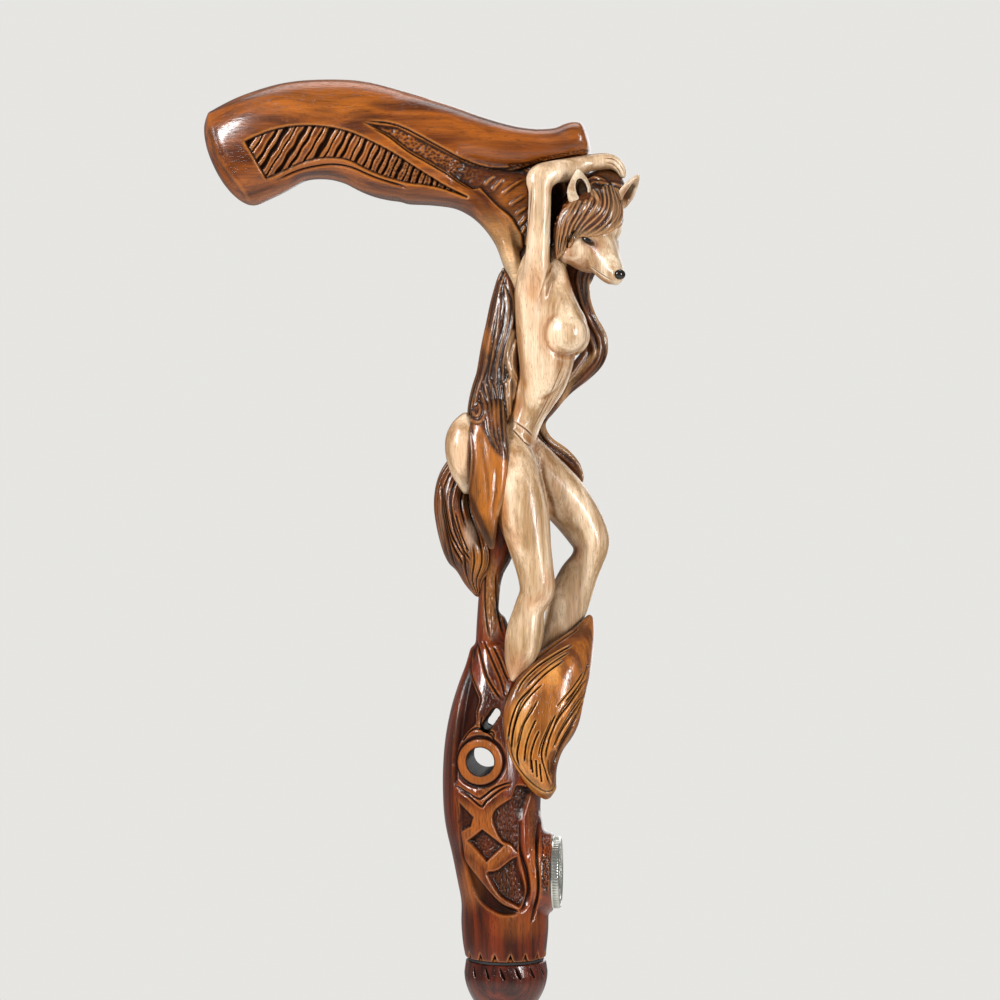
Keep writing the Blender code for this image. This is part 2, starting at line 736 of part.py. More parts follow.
BOSS = [
    (4.0, 0.0, COIN_HEIGHT, BOSS_RADIUS + 2.0, BOSS_RADIUS),
    (COIN_FACE, 0.0, COIN_HEIGHT, BOSS_RADIUS + 0.4, BOSS_RADIUS - 0.2),
]


def trunk_forms():
    return [
        lambda bm: limb(bm, raised(TRUNK), blunt=0.1, sides=28),
        lambda bm: limb(bm, raised(BRANCH)),
        lambda bm: limb(bm, raised(BRANCH_FOOT)),
        lambda bm: limb(bm, raised(BOSS), blunt=0.1, sides=24),
    ]


# The openwork in the trunk: the eyelet and the slanting slot above it
EYELET = (-8.2, 76.7)
SLOT = ((-2.6, 94.6), (-6.0, 89.6), 1.8)
THROUGH = 40.0


def cutter(name, bm):
    """A hidden solid that cuts others."""
    obj = add_object(name, bm, WOOD_DARK)
    obj.hide_render = True
    obj.display_type = "WIRE"
    return obj


def rod(name, centre, axis, radius, half_length, sides=TURNED_SIDES):
    bm = bmesh.new()
    profile = [(0, -half_length), (radius, -half_length), (radius, half_length), (0, half_length)]
    turned(bm, profile, centre, axis, sides)
    return cutter(name, bm)


def eyelet_bore():
    centre = (EYELET[0], 0, CARVING_FOOT + EYELET[1])
    return rod("eyelet_bore", centre, (0, 1, 0), RING_HOLE_RADIUS, THROUGH, 20)


def slot_bore():
    (x0, z0), (x1, z1), half = SLOT
    top, foot = Vector((x0, 0, z0 + CARVING_FOOT)), Vector((x1, 0, z1 + CARVING_FOOT))
    along = (foot - top).normalized()
    aside = along.cross(Vector((0, 1, 0))) * half
    outline = [top + aside, foot + aside, foot + along * half]
    outline += [foot - aside, top - aside, top - along * half]
    bm = bmesh.new()
    face = bm.faces.new([bm.verts.new(p - Vector((0, THROUGH, 0))) for p in outline])
    moved = bmesh.ops.extrude_face_region(bm, geom=[face])["geom"]
    points = [g for g in moved if isinstance(g, bmesh.types.BMVert)]
    bmesh.ops.translate(bm, verts=points, vec=(0, 2 * THROUGH, 0))
    return cutter("slot_bore", bm)


def seam_level():
    """Levels the trunk's foot at the seam."""
    depth, width = 30.0, 80.0
    place = Matrix.Translation((0, 0, SEAM_HEIGHT - depth / 2))
    bm = bmesh.new()
    bmesh.ops.create_cube(bm, size=1.0, matrix=place @ Matrix.Diagonal((width, width, depth, 1)))
    return cutter("seam_level", bm)


def insert_bore():
    """The socket in the trunk's foot that takes the brass insert."""
    depth = INSERT_LENGTH + FIT_GAP
    return rod("insert_bore", (0, 0, SEAM_HEIGHT), (0, 0, 1), INSERT_RADIUS + FIT_GAP, depth, 24)


def coin_seat():
    """The flat sunk bed that the medallion's bezel sits on."""
    depth = 20.0
    centre = (COIN_FACE + depth, 0, CARVING_FOOT + COIN_HEIGHT)
    return rod("coin_seat", centre, (1, 0, 0), BEZEL_OUTSIDE + FIT_GAP, depth)


def turned_part(name, profile, finish, centre=(0, 0, 0), axis=None, sides=TURNED_SIDES):
    bm = bmesh.new()
    turned(bm, profile, centre, axis, sides)
    return add_object(name, bm, finish)


def build_beads():
    """The polished nose and the two eyes."""
    frame = head_frame()
    beads = []
    for name, place, radii in (
        ("nose_bead", NOSE_PLACE, (NOSE_RADIUS, NOSE_RADIUS * 1.25, NOSE_RADIUS)),
        ("eye_right", (EYE_PLACE[0], -EYE_PLACE[1], EYE_PLACE[2]), (EYE_RADIUS,) * 3),
        ("eye_left", EYE_PLACE, (EYE_RADIUS,) * 3),
    ):
        bm = bmesh.new()
        ball(bm, on_head(*place), radii, frame, around=12)
        beads.append(add_object(name, bm, ENAMEL))
    return beads


def build_medallion():
    """A silver disc in a thin rimmed bezel, facing the way the figure faces."""
    centre, axis = (COIN_FACE + FIT_GAP, 0, CARVING_FOOT + COIN_HEIGHT), (1, 0, 0)
    outer_round, inner_round = 0.5, 0.2
    bezel = [
        (0, 0),
        (BEZEL_OUTSIDE, 0),
        (BEZEL_OUTSIDE, BEZEL_DEPTH - outer_round),
        (BEZEL_OUTSIDE - outer_round, BEZEL_DEPTH),
        (BEZEL_INSIDE + inner_round, BEZEL_DEPTH),
        (BEZEL_INSIDE, BEZEL_DEPTH - inner_round),
        (BEZEL_INSIDE, BEZEL_FLOOR),
        (0, BEZEL_FLOOR),
    ]
    turned_part("medallion_bezel", bezel, SILVER, centre, axis)
    foot = BEZEL_FLOOR + FIT_GAP
    face = foot + COIN_THICKNESS
    edge_round, rim_width, field_depth, crown = 0.4, 2.0, 0.5, 0.2
    disc = [
        (0, foot),
        (COIN_RADIUS, foot),
        (COIN_RADIUS, face - edge_round),
        (COIN_RADIUS - edge_round, face),
        (COIN_RADIUS - rim_width, face),
        (COIN_RADIUS - rim_width - edge_round, face - field_depth),
        (COIN_RADIUS / 2, face - field_depth + crown),
        (0, face + crown),
    ]
    turned_part("medallion_disc", disc, SILVER, centre, axis)


def build_joint():
    """The screw joint at the seam: a brass insert above, a steel stud below, a washer between."""
    roof = STUD_REACH + STUD_END_ROOM
    insert = [
        (0, roof),
        (STUD_BORE, roof),
        (STUD_BORE, FIT_GAP),
        (INSERT_RADIUS, FIT_GAP),
        (INSERT_RADIUS, INSERT_LENGTH),
        (0, INSERT_LENGTH),
    ]
    turned_part("threaded_insert", insert, BRASS, (0, 0, SEAM_HEIGHT), sides=24)

    washer_top = -FIT_GAP
    washer_foot = washer_top - WASHER_THICKNESS
    washer_edge = SEAM_RADIUS - WASHER_THICKNESS
    washer = [
        (STUD_BORE, washer_top),
        (STUD_BORE, washer_foot),
        (washer_edge, washer_foot),
        (washer_edge, washer_top),
    ]
    turned_part("joint_washer", washer, RUBBER, (0, 0, SEAM_HEIGHT))

    chamfer = 0.8
    stud = [
        (0, -STUD_ROOT),
        (STUD_RADIUS - chamfer, -STUD_ROOT),
        (STUD_RADIUS, -STUD_ROOT + chamfer),
        (STUD_RADIUS, STUD_REACH - chamfer),
        (STUD_RADIUS - chamfer, STUD_REACH),
        (0, STUD_REACH),
    ]
    turned_part("joint_stud", stud, STEEL, (0, 0, SEAM_HEIGHT), sides=24)


def build_staff():
    """The turned staff: a bulb at the seam, a bead under it, then a plain taper to the tip."""
    socket_floor = SEAM_HEIGHT - STUD_ROOT - FIT_GAP
    bulb_foot = STAFF_TOP - BULB_HEIGHT
    quirk, bead_round, taper_start, foot_chamfer = 0.6, 0.5, 6.0, 1.0
    bead_top = bulb_foot - quirk
    bead_foot = bead_top - BEAD_HEIGHT
    outline = [
        (0, socket_floor),
        (STUD_BORE, socket_floor),
        (STUD_BORE, STAFF_TOP),
        (SEAM_RADIUS, STAFF_TOP),
    ]
    for depth_share, swell_share in ((0.22, 1.0), (0.4, 0.96), (0.6, 0.72), (0.78, 0.36), (1.0, 0.0)):
        radius = NECK_RADIUS + (BULB_RADIUS - NECK_RADIUS) * swell_share
        outline.append((radius, STAFF_TOP - depth_share * BULB_HEIGHT))
    outline += [
        (NECK_RADIUS, bead_top),
        (BEAD_RADIUS - bead_round, bead_top - 0.15 * BEAD_HEIGHT),
        (BEAD_RADIUS, bead_top - 0.5 * BEAD_HEIGHT),
        (BEAD_RADIUS - bead_round, bead_top - 0.85 * BEAD_HEIGHT),
        (NECK_RADIUS, bead_foot),
        (STAFF_TOP_RADIUS, bead_foot - taper_start),
        (STAFF_FOOT_RADIUS, STAFF_FOOT + foot_chamfer),
        (STAFF_FOOT_RADIUS - foot_chamfer, STAFF_FOOT),
        (0, STAFF_FOOT),
    ]
    turned_part("staff", outline, WOOD_DARK)


def build_tip():
    """The rubber tip with its ribbed foot, and the steel washer that keeps the staff from cutting it."""
    inside = STAFF_FOOT_RADIUS + FIT_GAP
    sleeve = inside + TIP_WALL
    lip_round, sleeve_taper, shoulder_rise, foot_round = 0.8, 0.6, 8.0, 1.0
    tip = [
        (0, TIP_FLOOR),
        (inside, TIP_FLOOR),
        (inside, TIP_HEIGHT),
        (sleeve - lip_round, TIP_HEIGHT),
        (sleeve, TIP_HEIGHT - lip_round),
        (sleeve + sleeve_taper, TIP_FOOT_HEIGHT + shoulder_rise),
        (TIP_FOOT_RADIUS - foot_round, TIP_FOOT_HEIGHT + 2 * foot_round),
        (TIP_FOOT_RADIUS, TIP_FOOT_HEIGHT),
        (TIP_FOOT_RADIUS, 0),
    ]
    for ring_radius in TIP_GROOVES:
        outer, inner = ring_radius + TIP_GROOVE_WIDTH / 2, ring_radius - TIP_GROOVE_WIDTH / 2
        tip += [(outer, 0), (outer, TIP_GROOVE_DEPTH), (inner, TIP_GROOVE_DEPTH), (inner, 0)]
    tip += [(0, 0)]
    turned_part("rubber_tip", tip, RUBBER)

    foot = TIP_FLOOR + FIT_GAP
    face = foot + TIP_WASHER_THICKNESS
    edge = STAFF_FOOT_RADIUS - FIT_GAP
    turned_part("tip_washer", [(0, foot), (edge, foot), (edge, face), (0, face)], STEEL)


clear_scene()
WOOD_GRIP = material("stained_ash", (0.36, 0.13, 0.03), 0.28)
WOOD_PALE = material("pale_ash", (0.68, 0.42, 0.2), 0.3)
WOOD_DARK = material("dark_stained_ash", (0.16, 0.045, 0.016), 0.25)
HAIR_STAIN = material("hair_stain", (0.12, 0.04, 0.018), 0.28)
TAIL_STAIN = material("tail_stain", (0.38, 0.17, 0.055), 0.28)
STEEL = material("plated_steel", (0.6, 0.6, 0.58), 0.3, 1.0)
BRASS = material("brass", (0.72, 0.5, 0.2), 0.3, 1.0)
RUBBER = material("black_rubber", (0.02, 0.02, 0.02), 0.8)
SILVER = material("aged_silver", (0.62, 0.62, 0.58), 0.35, 1.0)
ENAMEL = material("black_enamel", (0.012, 0.012, 0.014), 0.1)

bead_seats = [grown_copy(bead) for bead in build_beads()]
build_medallion()
build_joint()
build_staff()
build_tip()

# Each carved piece is seated on the ones made before it
figure = carved("figure_body", figure_forms(), WOOD_PALE, CARVED_VOXEL, FACES["figure_body"])
seats = [grown_copy(figure)]
fox_head = carved(
    "fox_head", head_forms(), WOOD_PALE, FINE_VOXEL, FACES["fox_head"], (*seats, *bead_seats), rounds=3
)
seats.append(grown_copy(fox_head))
hair = carved("hair", hair_forms(), HAIR_STAIN, CARVED_VOXEL, FACES["hair"], seats)
seats.append(grown_copy(hair))
far_lock = carved("far_lock", lock_forms(), HAIR_STAIN, LOCK_VOXEL, FACES["far_lock"], seats)
seats.append(grown_copy(far_lock))
carved("handle", grip_forms(), WOOD_GRIP, CARVED_VOXEL, FACES["handle"], seats)
for name, parts in (("rear_tail", (REAR_TAIL,)), ("front_tail", (FRONT_TAIL, FRONT_RIM))):
    tail = carved(name, tail_forms(*parts), TAIL_STAIN, CARVED_VOXEL, FACES[name], seats)
    seats.append(grown_copy(tail))
trunk_cuts = [eyelet_bore(), slot_bore(), seam_level(), insert_bore(), coin_seat()]
carved("trunk", trunk_forms(), WOOD_DARK, CARVED_VOXEL, FACES["trunk"], seats + trunk_cuts)
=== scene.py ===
# A carved walking cane: a rubber-tipped staff, and a head carved as a trunk, a fox-headed figure and a grip.
# The file follows the cane as it is put together, from the tip up to the grip.
# Numbers are millimetres. Carved forms are measured from the carving's foot, which is 590 mm above the floor.
import math

import bpy
import numpy as np
from mathutils import Matrix, Vector
from mathutils.bvhtree import BVHTree


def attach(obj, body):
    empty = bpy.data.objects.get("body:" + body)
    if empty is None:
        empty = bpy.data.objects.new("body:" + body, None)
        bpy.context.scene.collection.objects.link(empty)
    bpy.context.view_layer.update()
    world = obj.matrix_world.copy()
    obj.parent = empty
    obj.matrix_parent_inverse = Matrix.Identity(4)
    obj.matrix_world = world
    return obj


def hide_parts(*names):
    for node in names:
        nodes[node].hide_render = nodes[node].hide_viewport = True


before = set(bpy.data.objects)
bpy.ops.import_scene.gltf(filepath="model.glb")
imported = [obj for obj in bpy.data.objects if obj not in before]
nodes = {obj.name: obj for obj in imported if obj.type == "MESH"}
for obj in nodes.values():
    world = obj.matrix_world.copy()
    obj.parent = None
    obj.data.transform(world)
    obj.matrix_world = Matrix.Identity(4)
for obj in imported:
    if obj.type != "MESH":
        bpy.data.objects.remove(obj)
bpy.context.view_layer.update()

# The view: a camera level with the figure's waist, 5 degrees towards its front, on a long lens.
# Plain soft studio light: a dim pale room, a large lamp on each side, one above and one behind.
# The cane is held in the air, so the floor lies lower than its tip goes at the ends of its travel.
MM = 0.001
CARVING_FOOT = 590.0
VIEW_AIM = (-2.25, 0.0, 763.25)
VIEW_DISTANCE = 937.5
VIEW_TURN = math.radians(5.0)
LENS, SENSOR = 90.0, 36.0
LAMP_AIM = Vector((0.0, 0.0, 0.7))

view_back = Vector((math.sin(VIEW_TURN), -math.cos(VIEW_TURN), 0.0))
view_right = Vector((math.cos(VIEW_TURN), math.sin(VIEW_TURN), 0.0))
camera = bpy.data.objects.new("camera", bpy.data.cameras.new("camera"))
bpy.context.scene.collection.objects.link(camera)
camera.location = (Vector(VIEW_AIM) + view_back * VIEW_DISTANCE) * MM
camera.rotation_euler = (-view_back).to_track_quat("-Z", "Y").to_euler()
camera.data.lens = LENS
camera.data.sensor_width = SENSOR
camera.data.clip_start = 0.01
bpy.context.scene.camera = camera
bpy.context.scene.view_settings.view_transform = "Standard"


def linear(code):
    """An sRGB hex colour in linear numbers."""
    out = []
    for i in (0, 2, 4):
        share = int(code[i:i + 2], 16) / 255
        out.append(share / 12.92 if share <= 0.04045 else ((share + 0.055) / 1.055) ** 2.4)
    return (*out, 1.0)


def fill(tree, node, inputs):
    """Fills a node's inputs: each is a number, a colour or another node's output."""
    for socket, source in inputs.items():
        if isinstance(source, bpy.types.NodeSocket):
            tree.links.new(source, node.inputs[socket])
        else:
            node.inputs[socket].default_value = source
    return node


def add_node(tree, kind, inputs, **settings):
    """Adds a shader node, with its settings, and fills its inputs."""
    made = tree.nodes.new(kind)
    for name, value in settings.items():
        setattr(made, name, value)
    return fill(tree, made, inputs)


def figured(tree, operation, *numbers, **settings):
    """The result of a sum on numbers and other nodes' outputs."""
    inputs = dict(enumerate(numbers))
    return add_node(tree, "ShaderNodeMath", inputs, operation=operation, **settings).outputs[0]


def ranged(tree, value, low, high, begin=0.0, end=1.0):
    """Maps the run from begin to end onto the run from low to high."""
    run = {"Value": value, "From Min": begin, "From Max": end, "To Min": low, "To Max": high}
    return add_node(tree, "ShaderNodeMapRange", run).outputs[0]


def add_lamp(name, place, size, power):
    lamp = bpy.data.lights.new(name, "AREA")
    lamp.shape = "RECTANGLE"
    lamp.size, lamp.size_y = size
    lamp.energy = power
    obj = bpy.data.objects.new(name, lamp)
    bpy.context.scene.collection.objects.link(obj)
    obj.location = place
    obj.rotation_euler = (LAMP_AIM - Vector(place)).to_track_quat("-Z", "Y").to_euler()


add_lamp("left_softbox", (-1.0, -1.2, 1.5), (0.3, 0.7), 34.0)
add_lamp("right_softbox", (1.05, -1.05, 0.95), (0.18, 0.7), 18.0)
add_lamp("top_softbox", (-0.1, 0.4, 2.2), (1.2, 0.8), 9.0)
add_lamp("rear_softbox", (0.4, 1.7, 1.1), (1.3, 1.3), 9.0)

ROOM_LIGHT, ROOM_GLOSS, ROOM_SEEN = 0.12, 0.15, 0.86
FLOOR_HEIGHT, FLOOR_RADIUS, FLOOR_EVENNESS = -80.0, 2200.0, 0.7
room = bpy.data.worlds.new("room")
bpy.context.scene.world = room
room.use_nodes = True
room.node_tree.nodes.clear()
rays = add_node(room.node_tree, "ShaderNodeLightPath", {}).outputs
seen_ray = figured(room.node_tree, "MAXIMUM", rays["Is Camera Ray"], rays["Is Transmission Ray"])
dim = figured(room.node_tree, "MULTIPLY_ADD", rays["Is Glossy Ray"], ROOM_GLOSS, ROOM_LIGHT)
level = ranged(room.node_tree, seen_ray, dim, ROOM_SEEN)
air = add_node(room.node_tree, "ShaderNodeBackground", {"Color": linear("f6f5f2"), "Strength": level})
add_node(room.node_tree, "ShaderNodeOutputWorld", {"Surface": air.outputs[0]})

bpy.ops.object.select_all(action="DESELECT")
bpy.ops.mesh.primitive_circle_add(
    vertices=128, radius=FLOOR_RADIUS * MM, fill_type="NGON", location=(0, 0, FLOOR_HEIGHT * MM)
)
floor = bpy.context.object
floor.name = "floor"
floor_paint = bpy.data.materials.new("matt_floor_paint")
floor_paint.use_nodes = True
floor_tree = floor_paint.node_tree
floor_shader = floor_tree.nodes["Principled BSDF"]
pale = linear("e6e4df")
matt = {"Base Color": pale, "Roughness": 0.9, "Emission Color": pale, "Emission Strength": 0.2}
fill(floor_tree, floor_shader, matt)
floor_rays = add_node(floor_tree, "ShaderNodeLightPath", {}).outputs
evenness = figured(floor_tree, "MULTIPLY", floor_rays["Is Camera Ray"], FLOOR_EVENNESS)
even_paint = add_node(floor_tree, "ShaderNodeEmission", {"Color": linear("f6f5f2"), "Strength": ROOM_SEEN})
paints = {0: evenness, 1: floor_shader.outputs[0], 2: even_paint.outputs[0]}
seen_floor = add_node(floor_tree, "ShaderNodeMixShader", paints)
fill(floor_tree, floor_tree.nodes["Material Output"], {"Surface": seen_floor.outputs[0]})
floor.data.materials.append(floor_paint)

# The rubber tip: moulded black rubber with a ribbed sleeve and two ring grooves in its flat foot.
# It is pushed over the staff's foot, on a zinc-plated steel washer that keeps the wood off its floor.
TIP_HEIGHT, TIP_FLOOR, TIP_FOOT_RADIUS, TIP_FOOT_HEIGHT = 50.0, 11.0, 16.5, 9.0
STAFF_FOOT_RADIUS, FIT_GAP, TIP_WALL = 9.4, 0.3, 3.2
TIP_WASHER_THICKNESS = 1.6
TURNED_SIDES = 96


def pick(obj):
    """Makes an object the only one that is selected, for the tools that work on a selection."""
    bpy.ops.object.select_all(action="DESELECT")
    obj.select_set(True)
    bpy.context.view_layer.objects.active = obj


def new_object(name, points, edges=(), faces=()):
    """A mesh in the scene, from points in metres."""
    mesh = bpy.data.meshes.new(name)
    mesh.from_pydata(points, edges, faces)
    obj = bpy.data.objects.new(name, mesh)
    bpy.context.scene.collection.objects.link(obj)
    pick(obj)
    return obj


def close_seams(obj):
    """Joins the points that lie on one another and turns every face outward."""
    bpy.ops.object.mode_set(mode="EDIT")
    bpy.ops.mesh.select_all(action="SELECT")
    bpy.ops.mesh.remove_doubles(threshold=1e-6)
    bpy.ops.mesh.normals_make_consistent(inside=False)
    bpy.ops.object.mode_set(mode="OBJECT")


def settle(obj):
    """Leaves a finished mesh with its place in its points, smooth shading and sharp corners."""
    pick(obj)
    bpy.ops.object.transform_apply(location=True, rotation=True, scale=True)
    bpy.ops.object.shade_smooth_by_angle(angle=math.radians(38))
    return obj


def turned(name, profile):
    """Turns a profile of (radius, height) points about the staff's axis, as on a lathe."""
    edges = [(i, i + 1) for i in range(len(profile) - 1)]
    obj = new_object(name, [(r * MM, 0.0, z * MM) for r, z in profile], edges)
    bpy.ops.object.mode_set(mode="EDIT")
    bpy.ops.mesh.select_all(action="SELECT")
    bpy.ops.mesh.spin(steps=TURNED_SIDES, angle=2 * math.pi, center=(0, 0, 0), axis=(0, 0, 1))
    bpy.ops.object.mode_set(mode="OBJECT")
    close_seams(obj)
    return settle(obj)


def apply_modifier(obj, kind, **settings):
    pick(obj)
    made = obj.modifiers.new(kind.lower(), kind)
    for name, value in settings.items():
        setattr(made, name, value)
    bpy.ops.object.modifier_apply(modifier=made.name)
    return obj


def new_material(name):
    """A material with its shader and its Object coordinates."""
    made = bpy.data.materials.new(name)
    made.use_nodes = True
    tree = made.node_tree
    place = add_node(tree, "ShaderNodeTexCoord", {}).outputs["Object"]
    return made, tree, tree.nodes["Principled BSDF"], place


def noted(tree, name):
    """A number that note() has kept at each point of a mesh."""
    return add_node(tree, "ShaderNodeAttribute", {}, attribute_name=name).outputs["Fac"]


def noise(tree, place, scale, detail, rough=0.5):
    how = {"Vector": place, "Scale": scale, "Detail": detail, "Roughness": rough}
    return add_node(tree, "ShaderNodeTexNoise", how).outputs


def blend(tree, share, under, over):
    """Mixes two colours by a share from 0 to 1."""
    return add_node(tree, "ShaderNodeMix", {"Factor": share, 6: under, 7: over}, data_type="RGBA").outputs[2]


def roughened(tree, height, strength, distance):
    """A bump so small that only its glint is seen."""
    how = {"Height": height, "Strength": strength, "Distance": distance}
    return add_node(tree, "ShaderNodeBump", how).outputs["Normal"]


def finish_piece(obj, body, paint, slot, *stands_for):
    """Gives a piece its material and says what it rides on and which CAD node it stands for."""
    obj.data.materials.clear()
    obj.data.materials.append(paint)
    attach(obj, body)
    if stands_for:
        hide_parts(*stands_for)


def moulded_rubber():
    """Natural rubber, compression moulded: matt black, with a fine mould grain and dusty where it is worn."""
    made, tree, shader, place = new_material("moulded_rubber")
    tone = add_node(tree, "ShaderNodeValToRGB", {"Fac": noise(tree, place, 90.0, 4.0)["Fac"]})
    for stop, at, code in zip(tone.color_ramp.elements, (0.35, 0.75), ("17171a", "2b2b2e")):
        stop.position, stop.color = at, linear(code)
    grain = roughened(tree, noise(tree, place, 1600.0, 3.0)["Fac"], 0.25, 0.0002)
    look = {"Base Color": tone.outputs["Color"], "Normal": grain, "Roughness": 0.72, "IOR": 1.52}
    fill(tree, shader, look)
    return made


def zinc_plate():
    """Mild steel, turned and zinc plated: a cool grey metal with faint turning rings."""
    made, tree, shader, place = new_material("zinc_plated_steel")
    rings = add_node(
        tree,
        "ShaderNodeTexWave",
        {"Vector": place, "Scale": 900.0, "Distortion": 1.5, "Detail": 2.0},
        wave_type="RINGS",
        rings_direction="Z",
    )
    rough = ranged(tree, rings.outputs["Fac"], 0.28, 0.42)
    fill(tree, shader, {"Base Color": linear("c3c4c2"), "Metallic": 1.0, "Roughness": rough})
    return made


def tip_profile():
    inside = STAFF_FOOT_RADIUS + FIT_GAP
    sleeve = inside + TIP_WALL
    lip, rib, rib_pitch, edge = 0.7, 0.45, 4.2, 0.6
    ring_grooves, groove_depth = (12.6, 9.0), 1.4
    profile = [(0, TIP_FLOOR), (inside, TIP_FLOOR), (inside, TIP_HEIGHT - lip), (inside + lip, TIP_HEIGHT)]
    profile += [(sleeve - lip, TIP_HEIGHT), (sleeve, TIP_HEIGHT - lip)]
    height = TIP_HEIGHT - 6.0
    while height > TIP_FOOT_HEIGHT + 10.0:
        profile += [(sleeve, height), (sleeve - rib, height - edge), (sleeve - rib, height - 2 * edge)]
        profile += [(sleeve, height - 3 * edge)]
        height -= rib_pitch
    for step in range(9):
        turn = math.radians(90 * step / 8)
        flare = TIP_FOOT_RADIUS - 0.4 - sleeve
        profile.append((sleeve + flare * (1 - math.cos(turn)), TIP_FOOT_HEIGHT + 9.0 - 8.0 * math.sin(turn)))
    profile += [(TIP_FOOT_RADIUS, TIP_FOOT_HEIGHT), (TIP_FOOT_RADIUS, edge), (TIP_FOOT_RADIUS - edge, 0)]
    for radius in ring_grooves:
        profile += [(radius + 0.8, 0), (radius + 0.6, groove_depth)]
        profile += [(radius - 0.6, groove_depth), (radius - 0.8, 0)]
    return profile + [(0, 0)]


rubber = moulded_rubber()
zinc = zinc_plate()
finish_piece(turned("tip_sleeve", tip_profile()), "tip", rubber, "rubber", "rubber_tip")
nodes["tip_washer"].data.materials.clear()
nodes["tip_washer"].data.materials.append(zinc)

# The staff: ash, turned between centres, with a bead and a bulb at its top, stained dark red-brown.
# Sixteen slanting leaf cuts made with a gouge stand round the bulb's shoulder, just under the seam.
SEAM_HEIGHT = 592.5
SEAM_RADIUS, BULB_RADIUS, BULB_HEIGHT = 15.0, 15.6, 17.0
NECK_RADIUS, BEAD_RADIUS, BEAD_HEIGHT, STAFF_TOP_RADIUS = 10.6, 12.2, 5.0, 11.4
WASHER_THICKNESS, STUD_RADIUS, STUD_REACH, STUD_ROOT = 0.8, 4.7, 24.0, 34.0
STAFF_TOP = SEAM_HEIGHT - 2 * FIT_GAP - WASHER_THICKNESS
NOTCHES = 16
# The near-black of burnt cuts, also used as painted shade in some hollows.
CHAR_AND_SHADE = linear("100704")


def points_of(obj):
    """A mesh's points in millimetres."""
    flat = np.empty(len(obj.data.vertices) * 3, np.float32)
    obj.data.vertices.foreach_get("co", flat)
    return flat.reshape(-1, 3).astype(float) / MM


def normals_of(obj):
    flat = np.empty(len(obj.data.vertices) * 3, np.float32)
    obj.data.vertex_normals.foreach_get("vector", flat)
    return flat.reshape(-1, 3).astype(float)


def set_points(obj, points):
    obj.data.vertices.foreach_set("co", (points * MM).astype(np.float32).ravel())
    obj.data.update()


def note(obj, name, values):
    """Keeps a number from 0 to 1 at each point of a mesh, for its material to read."""
    held = obj.data.attributes.get(name) or obj.data.attributes.new(name, "FLOAT", "POINT")
    held.data.foreach_set("value", np.clip(values, 0, 1).astype(np.float32))


def ease(low, high, values):
    share = np.clip((values - low) / (high - low), 0, 1)
    return share * share * (3 - 2 * share)


def read_relief(obj, rounds, depth):
    """How far each point lies under (+) or over (-) the surface once it is softened, as a share of depth."""
    copy = obj.copy()
    copy.data = obj.data.copy()
    bpy.context.scene.collection.objects.link(copy)
    apply_modifier(copy, "SMOOTH", factor=0.5, iterations=rounds)
    lift = ((points_of(copy) - points_of(obj)) * normals_of(obj)).sum(1)
    bpy.data.objects.remove(copy)
    return lift / depth


def note_relief(obj, fine=(6, 0.10), broad=(60, 0.7)):
    """Notes the narrow hollows, the ridges and the wide hollows, where stain gathers or is rubbed away, and
    where the material paints shade and highlight.
    """
    narrow = read_relief(obj, *fine)
    note(obj, "hollow", narrow)
    note(obj, "ridge", -narrow)
    note(obj, "dell", read_relief(obj, *broad))


